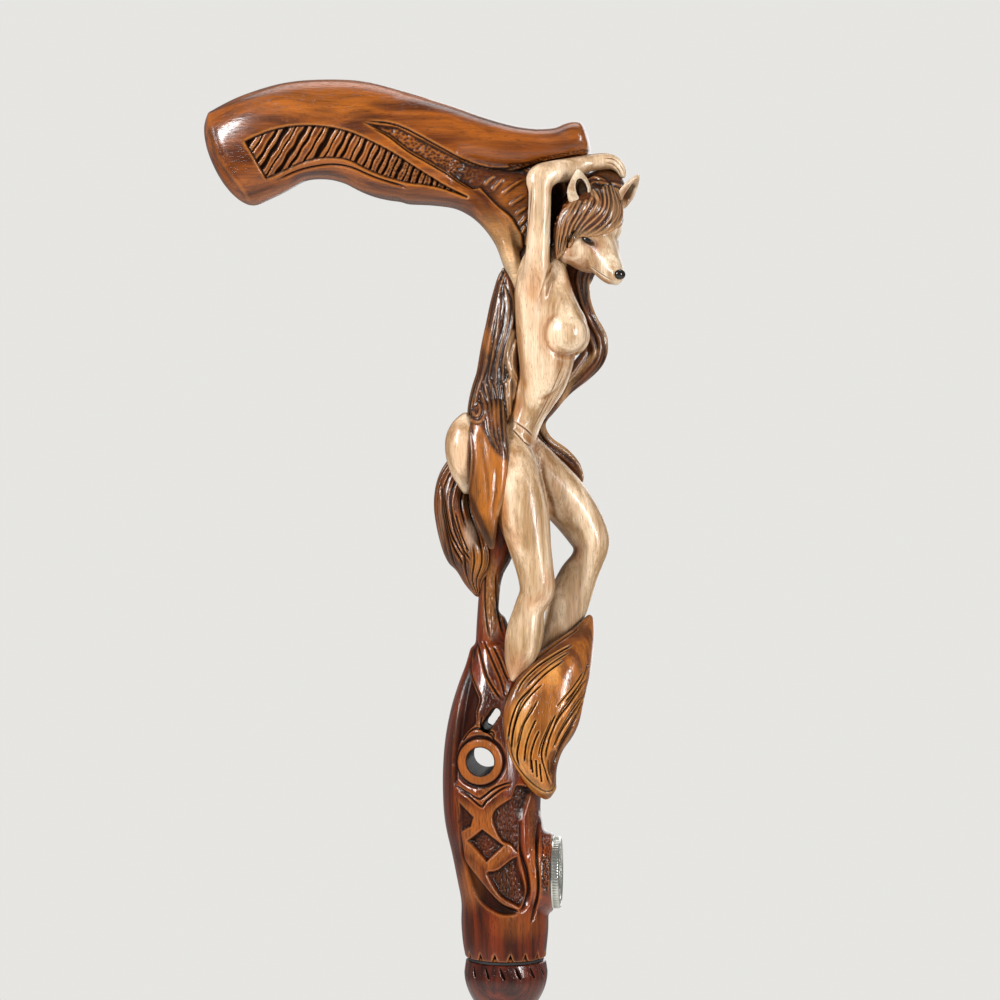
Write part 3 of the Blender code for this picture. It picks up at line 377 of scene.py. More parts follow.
def lacquered_ash(name, tones, washes=(), turn=(0.0, 0.0, 0.0), ring=0.5, gloss=0.13):
    """Ash, carved, stained, rubbed back and lacquered, with long growth rings and short dark pores.

    The tones are those of its early and late wood, of its hollows, where stain gathers and shade is painted,
    and of its ridges, rubbed back and painted with highlight.
    The rings lie in layers parallel to the cane's side, so they close into ovals on each swelling.
    A wash is a colour brushed on some places only, a stain and in places painted shade or light, as the name
    of its note, its colour and its strength.
    """
    made, tree, shader, place = new_material(name)
    early, late, hollow, ridge = [linear(code) for code in tones]
    grain = add_node(
        tree, "ShaderNodeMapping", {"Vector": place, "Rotation": turn, "Scale": (1000.0,) * 3}
    ).outputs[0]
    bend = add_node(
        tree,
        "ShaderNodeVectorMath",
        {0: noise(tree, grain, 0.022, 1.0)["Color"], 1: (7.0, 9.0, 0.0), 2: grain},
        operation="MULTIPLY_ADD",
    ).outputs[0]

    def grained(scale, detail, rough=0.5):
        """Noise drawn out along the grain."""
        drawn = add_node(tree, "ShaderNodeMapping", {"Vector": bend, "Scale": scale}).outputs[0]
        return noise(tree, drawn, 1.0, detail, rough)["Fac"]

    def brushed(under, name, over, most):
        """A stain, painted shade or painted light over another colour, where the mesh's note of that name
        says so.
        """
        return blend(tree, figured(tree, "MULTIPLY", noted(tree, name), most), under, over)

    ring_tone = ranged(tree, grained((0.10, ring, 0.012), 3.0, 0.62), 0.0, 1.0, 0.40, 0.60)
    fibre = grained((1.6, 1.6, 0.05), 2.0)
    pore = ranged(tree, grained((3.4, 3.4, 0.28), 1.0), 0.0, 1.0, 0.60, 0.70)
    colour = blend(tree, ring_tone, early, late)
    for note_name, code, most in washes:
        colour = brushed(colour, note_name, linear(code), most)
    fibre_tone = ranged(tree, figured(tree, "MULTIPLY_ADD", ring_tone, -0.35, fibre), 0.60, 1.24, 0.0, 0.7)
    fibred = add_node(tree, "ShaderNodeVectorMath", {0: colour, "Scale": fibre_tone}, operation="SCALE")
    colour = blend(tree, figured(tree, "MULTIPLY", pore, 0.5), fibred.outputs[0], hollow)
    # Darker in the hollows, lighter on the ridges, near-black in the burnt cuts: stain and burning, with
    # painted shade in the hollows and painted highlight on the ridges.
    stains_and_painted_light = (("dell", hollow, 0.8), ("ridge", ridge, 0.7), ("hollow", hollow, 0.97), ("burn_and_shade", CHAR_AND_SHADE, 0.97))
    for tone_layer in stains_and_painted_light:
        colour = brushed(colour, *tone_layer)
    height = figured(tree, "MULTIPLY_ADD", pore, -0.6, fibre)
    burnt_and_shaded = noted(tree, "burn_and_shade")
    look = {
        "Base Color": colour,
        "Roughness": figured(tree, "MULTIPLY_ADD", burnt_and_shaded, 0.25, ranged(tree, fibre, gloss, gloss + 0.1)),
        "Normal": roughened(tree, height, 0.45, 0.00015),
        "Specular IOR Level": ranged(tree, burnt_and_shaded, 0.4, 0.0),
        "Coat Weight": ranged(tree, burnt_and_shaded, 0.18, 0.0),
        "IOR": 1.5,
        "Coat Roughness": 0.6 * gloss,
    }
    fill(tree, shader, look)
    return made


def staff_profile():
    socket, socket_floor = STUD_RADIUS + FIT_GAP, SEAM_HEIGHT - STUD_ROOT - FIT_GAP
    foot = TIP_FLOOR + 2 * FIT_GAP + TIP_WASHER_THICKNESS
    profile = [(0, socket_floor), (socket, socket_floor), (socket, STAFF_TOP), (SEAM_RADIUS - 0.3, STAFF_TOP)]
    steps, shoulder = 24, 0.25
    for step in range(steps + 1):
        share = step / steps
        swell = math.cos(math.radians(90 * max(0.0, (share - shoulder) / (1 - shoulder)))) ** 0.8
        radius = NECK_RADIUS + (BULB_RADIUS - NECK_RADIUS) * swell
        if share <= shoulder:
            radius = SEAM_RADIUS + (BULB_RADIUS - SEAM_RADIUS) * share / shoulder
        profile.append((radius, STAFF_TOP - 0.2 - share * (BULB_HEIGHT - 0.2)))
    bead_top = STAFF_TOP - BULB_HEIGHT - 0.6
    profile.append((NECK_RADIUS, bead_top))
    for step in range(1, 12):
        turn = math.pi * step / 12
        swell = (BEAD_RADIUS - NECK_RADIUS) * math.sin(turn)
        profile.append((NECK_RADIUS + swell, bead_top - BEAD_HEIGHT * (1 - math.cos(turn)) / 2))
    bead_foot = bead_top - BEAD_HEIGHT
    profile += [(NECK_RADIUS, bead_foot), (NECK_RADIUS + 0.1, bead_foot - 0.6)]
    profile += [(STAFF_TOP_RADIUS - 0.2, bead_foot - 4.0), (STAFF_TOP_RADIUS, bead_foot - 6.0)]
    for step in range(1, 12):
        share = step / 12
        height = bead_foot - 6.0 + (foot + 1.0 - bead_foot + 6.0) * share
        profile.append((STAFF_TOP_RADIUS + (STAFF_FOOT_RADIUS - STAFF_TOP_RADIUS) * share, height))
    return profile + [(STAFF_FOOT_RADIUS, foot + 1.0), (STAFF_FOOT_RADIUS - 1.0, foot), (0, foot)]


def across_notch(points, radius, shift=0.0):
    """How far round the cane each point lies from the middle of the nearest notch."""
    around = np.degrees(np.arctan2(points[:, 1], points[:, 0])) + 90.0 + shift
    pitch = 360.0 / NOTCHES
    return np.radians(np.mod(around + pitch / 2, pitch) - pitch / 2) * radius


def bulb_leaves(staff):
    """Cuts the sixteen slanting leaf shapes into the bulb's shoulder."""
    length, width, depth, lean, middle = 4.6, 1.9, 0.8, 0.42, 2.4
    co, out = points_of(staff), normals_of(staff)
    radius = np.hypot(co[:, 0], co[:, 1])
    down = STAFF_TOP - 0.6 - co[:, 2]
    across = across_notch(co, BULB_RADIUS) - lean * (down - middle)
    share = np.clip(down / length, 0, 1)
    half = np.maximum(width / 2 * np.sqrt(np.clip(share * (1 - share) * 4, 0, 1)) * (0.7 + 0.5 * share), 0.05)
    inside = np.clip(1 - np.abs(across) / half, 0, 1) * (down > 0) * (down < length) * (radius > NECK_RADIUS)
    set_points(staff, co - out * (depth * ease(0, 1, inside))[:, None])
    note(staff, "burn_and_shade", ease(0.1, 0.6, inside))


def refine_band(obj, low, high, cuts):
    """Subdivides the faces of a mesh between two heights."""
    pick(obj)
    bpy.ops.object.mode_set(mode="EDIT")
    bpy.ops.mesh.select_all(action="DESELECT")
    bpy.ops.object.mode_set(mode="OBJECT")
    for face in obj.data.polygons:
        centre = face.center / MM
        face.select = low < centre.z < high and math.hypot(centre.x, centre.y) > NECK_RADIUS + 1
    bpy.ops.object.mode_set(mode="EDIT")
    bpy.ops.mesh.select_mode(type="FACE")
    bpy.ops.mesh.subdivide(number_cuts=cuts, smoothness=0.0)
    bpy.ops.mesh.select_mode(type="VERT")
    bpy.ops.object.mode_set(mode="OBJECT")


dark_ash = lacquered_ash("dark_stained_ash", ("5e2413", "35110a", "160703", "8a4322"), ring=0.35)
staff = turned("turned_staff", staff_profile())
refine_band(staff, STAFF_TOP - 7.0, STAFF_TOP + 0.01, 3)
bulb_leaves(staff)
finish_piece(staff, "staff", dark_ash, "staff_wood", "staff")

# The screw joint: a steel stud stands in the staff's top and runs up into a brass insert in the trunk.
# A thin black rubber washer lies between. The threads are true helices, 1.5 mm to the turn, as they are cut.
THREAD_PITCH, THREAD_DEPTH = 1.5, 0.75
INSERT_WALL, INSERT_ROOF, STUD_END_ROOM = 2.2, 2.5, 1.5
STUD_BORE = STUD_RADIUS + FIT_GAP
INSERT_RADIUS = STUD_BORE + INSERT_WALL
INSERT_LENGTH = STUD_REACH + STUD_END_ROOM + INSERT_ROOF


def screw_turned(name, profile_at, sides=40):
    """Joins sections that change with the angle into one closed skin, as a thread needs."""
    angles = [2 * math.pi * i / sides for i in range(sides)]
    sections = [profile_at(angle) for angle in angles]
    length = len(sections[0])
    points, faces = [], []
    for i, (angle, rows) in enumerate(zip(angles, sections)):
        points += [(r * math.cos(angle) * MM, r * math.sin(angle) * MM, z * MM) for r, z in rows]
        here, there = i * length, (i + 1) % sides * length
        faces += [(here + k, there + k, there + k + 1, here + k + 1) for k in range(length - 1)]
    obj = new_object(name, points, faces=faces)
    close_seams(obj)
    return settle(obj)


def thread_dip(angle, height):
    """How far the thread's surface lies under its crest, from 0 to 1."""
    turn = (height / THREAD_PITCH - angle / (2 * math.pi)) % 1.0
    return min(1.0, max(0.0, (abs(turn - 0.5) * 2 - 0.15) / 0.7))


def stud_section(angle):
    low, high, step, chamfer = SEAM_HEIGHT - STUD_ROOT, SEAM_HEIGHT + STUD_REACH, 0.15, 1.2
    rows = [(0, low)]
    for k in range(round((high - low) / step) + 1):
        height = low + k * step
        end = min(height - low, high - height)
        radius = STUD_RADIUS - THREAD_DEPTH * thread_dip(angle, height)
        rows.append((min(radius, STUD_RADIUS - chamfer + end), height))
    return rows + [(0, high)]


def insert_section(angle):
    mouth, roof, step, chamfer = SEAM_HEIGHT + FIT_GAP, SEAM_HEIGHT + STUD_REACH + STUD_END_ROOM, 0.15, 1.0
    rows = [(0, roof)]
    for k in range(round((roof - mouth) / step), -1, -1):
        height = mouth + k * step
        bore = STUD_BORE + THREAD_DEPTH * (1 - thread_dip(angle, height))
        rows.append((max(bore, STUD_BORE + chamfer - (height - mouth)), height))
    top = SEAM_HEIGHT + INSERT_LENGTH
    return rows + [(INSERT_RADIUS, mouth), (INSERT_RADIUS, top), (0, top)]


def turned_brass():
    """Free-cutting brass, turned and left bright, with a faint mottled tone."""
    made, tree, shader, place = new_material("turned_brass")
    tone = blend(tree, noise(tree, place, 260.0, 3.0)["Fac"], linear("d9b15c"), linear("a97c34"))
    fill(tree, shader, {"Base Color": tone, "Metallic": 1.0, "Roughness": 0.3})
    return made


finish_piece(screw_turned("stud_thread", stud_section), "staff", zinc, "steel", "joint_stud")
insert = screw_turned("insert_thread", insert_section)
finish_piece(insert, "head", turned_brass(), "brass", "threaded_insert")
washer_top, washer_edge = SEAM_HEIGHT - FIT_GAP, SEAM_RADIUS - WASHER_THICKNESS
washer_corners = ((STUD_BORE, 0), (STUD_BORE, 1), (washer_edge, 1), (washer_edge, 0), (STUD_BORE, 0))
washer_profile = [(radius, washer_top - down * WASHER_THICKNESS) for radius, down in washer_corners]
finish_piece(turned("fibre_washer", washer_profile), "washer", rubber, "rubber", "joint_washer")

# The trunk: one block of ash carved all round, its rim, ring, slot and cartouche sunk with gouges and burnt,
# and the walls of its eyelet and slot painted black as shade.
# Its skin is welded from sections, cut by the bores, and then carved along the lines seen from the side.
TRUNK = [
    (0, 0, -6, 14.8, 14.8),
    (0, 0, 1.5, 15, 15),
    (-0.3, 0, 8, 15.9, 15.4),
    (-0.4, 0, 15, 16.4, 15.8),
    (-0.6, 0, 24, 16.2, 16.2),
    (-1.6, 0, 34, 17, 16.8),
    (-3, 0, 45, 17.8, 17.2),
    (-5.1, 0, 56, 18.1, 17.4),
    (-5.2, 0, 68, 18.6, 17.2),
    (-5.2, 0, 80, 18, 16.8),
    (-4.6, 0, 91, 16.8, 16.2),
    (-4, 0, 101, 14.8, 14.6),
    (-4, 0, 110, 12, 12),
    (-5, 0, 119, 8.4, 9.6),
]
BRANCH = [
    (-5.6, 0, 112, 6, 9),
    (-7, 0, 124, 4.2, 7.4),
    (-6.4, 0, 136, 4, 6.6),
    (-5.2, 0, 146, 4.4, 6.8),
    (-3.4, 0, 153, 6, 7.6),
    (-2, 0, 161, 6.8, 8.4),
    (-1.6, 0, 170, 7, 8.8),
]
BRANCH_FOOT = [
    (-3, 0, 114, 7, 8),
    (-2.6, 0, 122, 5.4, 6.6),
    (-3.2, 0, 128, 3.6, 5),
]
COIN_RADIUS, COIN_HEIGHT, COIN_FACE = 11.9, 34.0, 17.4
BEZEL_DEPTH, BEZEL_RIM, BEZEL_FLOOR, COIN_THICKNESS = 3.0, 1.2, 0.8, 1.7
BEZEL_INSIDE = COIN_RADIUS + FIT_GAP
BEZEL_OUTSIDE = BEZEL_INSIDE + BEZEL_RIM
BOSS_RADIUS = BEZEL_OUTSIDE + 1.0
BOSS = [
    (4.0, 0.0, COIN_HEIGHT, BOSS_RADIUS + 2.0, BOSS_RADIUS),
    (COIN_FACE, 0.0, COIN_HEIGHT, BOSS_RADIUS + 0.4, BOSS_RADIUS - 0.2),
]
EYELET, RING_HOLE_RADIUS = (-8.2, 0.0, 76.7), 5.2
SLOT_TOP, SLOT_FOOT, SLOT_HALF = (-2.6, 94.6), (-6, 89.6), 1.8
SEAM_RISE = SEAM_HEIGHT - CARVING_FOOT
BALL_SIDES = 48
COARSENESS = 1.0
MOST_FACES = 190000


def through(rows, steps):
    """Rows of numbers on a smooth curve through the given rows, with steps between each two."""
    rows = np.array(rows, float)
    held = np.vstack([rows[:1], rows, rows[-1:]])
    slope = (held[2:] - held[:-2]) / 2
    t = np.linspace(0, 1, steps, endpoint=False)[None, :, None]
    here, there, leave, reach = rows[:-1, None], rows[1:, None], slope[:-1, None], slope[1:, None]
    curve = (2 * t**3 - 3 * t**2 + 1) * here + (3 * t**2 - 2 * t**3) * there
    curve = curve + (t**3 - 2 * t**2 + t) * leave + (t**3 - t**2) * reach
    return np.vstack([curve.reshape(-1, rows.shape[1]), rows[-1:]])


def closed_form(rings):
    """The points and faces of a closed skin over rings of points."""
    count, sides = rings.shape[:2]
    faces = []
    for i in range(count - 1):
        for j in range(sides):
            k = (j + 1) % sides
            faces.append((i * sides + j, i * sides + k, (i + 1) * sides + k, (i + 1) * sides + j))
    faces.append(tuple(range(sides - 1, -1, -1)))
    faces.append(tuple((count - 1) * sides + j for j in range(sides)))
    return rings.reshape(-1, 3), faces


def unit(vectors):
    return vectors / np.linalg.norm(vectors, axis=-1, keepdims=True)


def spine_frame(rows, side):
    """The centres of a form's sections, with the directions along, across and aside at each."""
    centres = rows[:, :3]
    along = unit(np.gradient(centres, axis=0))
    aside = np.array(side, float)
    aside = unit(aside - (along @ aside)[:, None] * along)
    return centres, along, np.cross(along, aside), aside


def limb(rows, side=(0, 1, 0), steps=8, sides=64, blunt=0.8, square=2.0):
    """A closed tapering form. A row is x, y, z, half size across, half size along side."""
    rows = through(rows, steps)
    centres, along, across, aside = spine_frame(rows, side)
    angles = np.linspace(0, 2 * math.pi, sides, endpoint=False)
    c, s = np.cos(angles), np.sin(angles)
    c, s = np.sign(c) * np.abs(c) ** (2 / square), np.sign(s) * np.abs(s) ** (2 / square)
    rings = []
    caps = [math.radians(a) for a in (80, 66, 52, 38, 24, 12)]
    for end, sign, turns in ((0, -1, caps), (None, 0, (0,)), (-1, 1, caps[::-1])):
        if end is None:
            rings += [
                centres[i] + across[i] * rows[i, 3] * c[:, None] + aside[i] * rows[i, 4] * s[:, None]
                for i in range(len(rows))
            ]
            continue
        reach = blunt * min(rows[end, 3], rows[end, 4])
        for turn in turns:
            centre = centres[end] + along[end] * sign * reach * math.sin(turn)
            wide, deep = rows[end, 3] * math.cos(turn), rows[end, 4] * math.cos(turn)
            rings.append(centre + across[end] * wide * c[:, None] + aside[end] * deep * s[:, None])
    return closed_form(np.array(rings))


def ball(centre, radii, turn=None):
    """An ellipsoid, its axes turned by a matrix."""
    turn = np.eye(3) if turn is None else np.array(turn)
    angles = np.linspace(0, 2 * math.pi, BALL_SIDES, endpoint=False)
    rings = []
    for lift in np.linspace(-math.pi / 2, math.pi / 2, BALL_SIDES // 2 + 1)[1:-1]:
        flat, high = math.cos(lift), math.sin(lift)
        level = np.stack([np.cos(angles) * flat, np.sin(angles) * flat, np.full(BALL_SIDES, high)], 1)
        rings.append(np.array(centre) + (level * np.array(radii)) @ turn.T)
    return closed_form(np.array(rings))


def rod(centre, axis, radius, half_length, sides=96):
    """A plain cylinder that cuts a bore."""
    bpy.ops.object.select_all(action="DESELECT")
    place = (Vector(centre) + Vector((0, 0, CARVING_FOOT))) * MM
    bpy.ops.mesh.primitive_cylinder_add(
        vertices=sides, radius=radius * MM, depth=2 * half_length * MM, location=place
    )
    obj = bpy.context.object
    obj.rotation_euler = Vector(axis).to_track_quat("Z", "Y").to_euler()
    return obj


def skin(name, forms, coarse, fine, rounds=8, cutters=(), last_rounds=4):
    """Welds overlapping closed forms into one smooth skin, and cuts the given solids out of it."""
    points, faces, offset = [], [], 0
    for form_points, form_faces in forms:
        points.append(form_points)
        faces += [tuple(i + offset for i in face) for face in form_faces]
        offset += len(form_points)
    placed = (np.vstack(points) + (0, 0, CARVING_FOOT)) * MM
    obj = new_object(name, placed.tolist(), faces=faces)
    apply_modifier(obj, "REMESH", mode="VOXEL", voxel_size=coarse * COARSENESS * MM)
    apply_modifier(obj, "SMOOTH", factor=0.5, iterations=rounds)
    apply_modifier(obj, "SUBSURF", levels=1)
    for cutter in cutters:
        apply_modifier(obj, "BOOLEAN", operation="DIFFERENCE", object=cutter, solver="MANIFOLD")
        bpy.data.objects.remove(cutter)
    apply_modifier(obj, "REMESH", mode="VOXEL", voxel_size=fine * COARSENESS * MM)
    apply_modifier(obj, "SMOOTH", factor=0.5, iterations=last_rounds)
    return obj


def seen(points):
    """Where points are seen by the camera, in millimetres from the axis and the carving's foot.

    The far half is carved as a mirror of the near half.
    """
    x, y, z = points[:, 0], -np.abs(points[:, 1]), points[:, 2] - CARVING_FOOT
    aside, level = x - VIEW_AIM[0], VIEW_AIM[2] - CARVING_FOOT
    scale = VIEW_DISTANCE / (VIEW_DISTANCE - aside * math.sin(VIEW_TURN) + y * math.cos(VIEW_TURN))
    right = aside * math.cos(VIEW_TURN) + y * math.sin(VIEW_TURN)
    return np.stack([VIEW_AIM[0] + right * scale, level + (z - level) * scale], 1)


def from_line(where, line, reach):
    """Each point's distance from a line, and the share of the line's length where it is nearest."""
    line = np.array(line, float)
    near = np.flatnonzero(((where > line.min(0) - reach) & (where < line.max(0) + reach)).all(1))
    spots = where[near]
    best, best_share = np.full(len(near), 1e3), np.zeros(len(near))
    runs = np.r_[0, np.cumsum(np.hypot(*np.diff(line, axis=0).T))]
    for i, (a, b) in enumerate(zip(line, line[1:])):
        step = b - a
        t = np.clip((spots - a) @ step / max(step @ step, 1e-9), 0, 1)
        away = np.hypot(*(spots - a - t[:, None] * step).T)
        closer = away < best
        best[closer] = away[closer]
        best_share[closer] = (runs[i] + t[closer] * (runs[i + 1] - runs[i])) / runs[-1]
    gap, share = np.full(len(where), 1e3), np.zeros(len(where))
    gap[near], share[near] = best, best_share
    return gap, share


def inside(where, outline, reach=6.0):
    """Each point's distance from an outline, positive inside it."""
    closed = np.vstack([outline, outline[:1]])
    gap, _ = from_line(where, closed, reach)
    odd = np.zeros(len(where), bool)
    x, y = where.T
    for (x0, y0), (x1, y1) in zip(closed, closed[1:]):
        if y0 != y1:
            odd ^= ((y0 > y) != (y1 > y)) & (x < (x1 - x0) * (y - y0) / (y1 - y0) + x0)
    return np.where(odd, gap, -gap)


def pecks(where, size, seed=0.0):
    """Small gouge marks on a surface: 1 in the middle of each and 0 on the rims between them."""
    spot = where / np.array(size)
    cell = np.floor(spot)
    nearest = np.full(len(where), 9.0)
    for across in (-1, 0, 1):
        for up in (-1, 0, 1):
            home = cell + (across, up)
            chance = np.sin(home @ np.array([127.1, 311.7]) + seed) * 43758.5453
            jitter = np.stack([chance - np.floor(chance), chance * 1.7 - np.floor(chance * 1.7)], 1)
            nearest = np.minimum(nearest, np.hypot(*(home + jitter - spot).T))
    return np.clip(1.1 - nearest, 0, 1)


def patches(where, *places):
    """Soft ovals, full in the middle and 0 at the edge: x, z, half width, half height and strength."""
    spread = np.zeros(len(where))
    for x, z, wide, high, strength in places:
        away = np.hypot((where[:, 0] - x) / wide, (where[:, 1] - z) / high)
        spread = np.maximum(spread, strength * (1 - ease(0.25, 1.0, away)))
    return spread


def along_line(where, line, reach):
    """1 on a line and 0 at the given reach from it."""
    return 1 - ease(0.0, reach, from_line(where, through(line, 4), reach)[0])


class Carving:
    """Gouge work on a finished skin: how deep each point is cut, and how dark it is burnt; the same dark also
    paints shade in some hollows.
    """

    def __init__(self, obj):
        self.obj = obj
        self.points, self.out = points_of(obj), normals_of(obj)
        self.where = seen(self.points)
        self.depth, self.burn_and_shade = np.zeros(len(self.points)), np.zeros(len(self.points))
        self.washes = {}
        sideways = self.out @ np.array(view_back)
        self.facing = ease(0.05, 0.3, np.abs(sideways))

    def cut(self, depth, burn_and_shade, add=False):
        self.depth = self.depth + depth if add else np.maximum(self.depth, depth)
        self.scorch_and_shade(burn_and_shade)

    # Darkens with char: burnt cuts, and in a few places painted shade.
    def scorch_and_shade(self, burn_and_shade):
        self.burn_and_shade = np.maximum(self.burn_and_shade, burn_and_shade)

    def peck(self, share, depth, burn_and_shade, size, seed=0.0):
        """Small gouge marks, as strong as the share given at each point."""
        marks = share * pecks(self.where, size, seed)
        self.cut(depth * marks, burn_and_shade * marks, add=True)

    def wash(self, name, strength):
        """Stain, painted shade or painted highlight brushed on, as strong as given at each point."""
        self.washes[name] = np.maximum(self.washes.get(name, 0.0), strength)

    def dab(self, name, *places):
        """Stain, painted shade or painted highlight brushed on in soft ovals."""
        self.wash(name, patches(self.where, *places))

    def streak(self, name, strength, line, reach):
        """Stain, painted shade or painted highlight brushed on along a line."""
        self.wash(name, strength * along_line(self.where, line, reach))

    def groove(self, line, width, depth, burn_and_shade=0.85, ends=0.12, where=None):
        """A groove along a line, with sloping walls, that runs out at its ends."""
        gap, share = from_line(self.where if where is None else where, through(line, 4), width)
        wall = 1 - ease(0.0, width / 2, gap)
        run_out = ease(0, ends, np.minimum(share, 1 - share)) if ends else 1.0
        self.cut(depth * wall * run_out, burn_and_shade * ease(0.25, 0.95, wall) * run_out)

    def ridge(self, line, width, height, ends=0.12):
        """Wood left standing along a line."""
        gap, share = from_line(self.where, through(line, 4), width)
        run_out = ease(0, ends, np.minimum(share, 1 - share)) if ends else 1.0
        self.depth -= height * (1 - ease(0.0, width / 2, gap)) * run_out

    def recess(self, outline, depth, wall=1.0, burn_and_shade=0.5, edge_burn=0.9, rough=0.0, size=(1.3, 1.3), steps=3):
        """Ground cut away inside an outline: darker along its foot, and rough from the gouge if so left."""
        if steps > 1:
            outline = through([*outline, outline[0]], steps)[:-1]
        deep = inside(self.where, outline)
        sunk = ease(-0.25, wall, deep)
        foot = np.clip(1 - np.abs(deep - wall * 0.6) / (wall * 0.75), 0, 1) * (deep > -0.2)
        burn_here = np.maximum(burn_and_shade * ease(0.2, wall, deep), edge_burn * foot)
        marks = rough * pecks(self.where, size) * sunk if rough else 0.0
        self.depth = np.maximum(self.depth, depth * sunk) + marks
        self.scorch_and_shade(burn_here * (1 - 0.6 * marks / rough if rough else 1.0))

    def finish(self, relief=((6, 0.10), (60, 0.7))):
        """Makes the cuts, notes the burning, the stain and the painted shade and light, and thins the skin
        where it is plain.
        """
        moved = self.points - self.out * (self.depth * self.facing)[:, None]
        set_points(self.obj, moved)
        note(self.obj, "burn_and_shade", self.burn_and_shade * self.facing)
        for name, strength in self.washes.items():
            note(self.obj, name, strength)
        note_relief(self.obj, *relief)
        triangles = sum(len(p.vertices) - 2 for p in self.obj.data.polygons)
        if triangles > MOST_FACES:
            apply_modifier(self.obj, "DECIMATE", ratio=MOST_FACES / triangles)
        pick(self.obj)
        bpy.ops.object.shade_smooth()
        return self.obj


def carved(obj, work, paint, slot, node, **how):
    """Does the gouge work on a skin, then makes it a piece of the head."""
    carve = Carving(obj)
    work(carve)
    finish_piece(carve.finish(**how), "head", paint, slot, node)


def trunk_cutters():
    """The seam's level, the insert's socket, the coin's bed, the eyelet and the slot."""
    block, clear, deep = 80.0, 40.0, 20.0
    bpy.ops.object.select_all(action="DESELECT")
    bpy.ops.mesh.primitive_cube_add(size=block * MM, location=(0, 0, (SEAM_HEIGHT - block / 2) * MM))
    level_cut = bpy.context.object
    socket = rod((0, 0, SEAM_RISE), (0, 0, 1), INSERT_RADIUS + FIT_GAP, INSERT_LENGTH + FIT_GAP)
    bed = rod((COIN_FACE + deep, 0, COIN_HEIGHT), (1, 0, 0), BEZEL_OUTSIDE + FIT_GAP, deep)
    eyelet = rod(EYELET, (0, 1, 0), RING_HOLE_RADIUS, clear)
    top, foot = Vector((SLOT_TOP[0], 0, SLOT_TOP[1])), Vector((SLOT_FOOT[0], 0, SLOT_FOOT[1]))
    steps = [top.lerp(foot, share) for share in (0, 0.25, 0.5, 0.75, 1)]
    return [level_cut, socket, bed, eyelet, *[rod(step, (0, 1, 0), SLOT_HALF, clear, 32) for step in steps]]


def foot_notches(carve):
    """The sixteen triangles cut upward from the seam, each over the gap between two of the bulb's leaves."""
    height, width, depth, burn_and_shade = 3.3, 2.7, 1.3, 0.95
    across = across_notch(carve.points, SEAM_RADIUS, 180.0 / NOTCHES)
    rise = carve.points[:, 2] - SEAM_HEIGHT
    half = width / 2 * np.clip(1 - rise / height, 0, 1)
    cut = ease(0.0, 0.5, half - np.abs(across)) * (rise > -0.2) / np.maximum(carve.facing, 0.02)
    carve.cut(np.minimum(cut * depth, 4 * depth), cut * burn_and_shade)


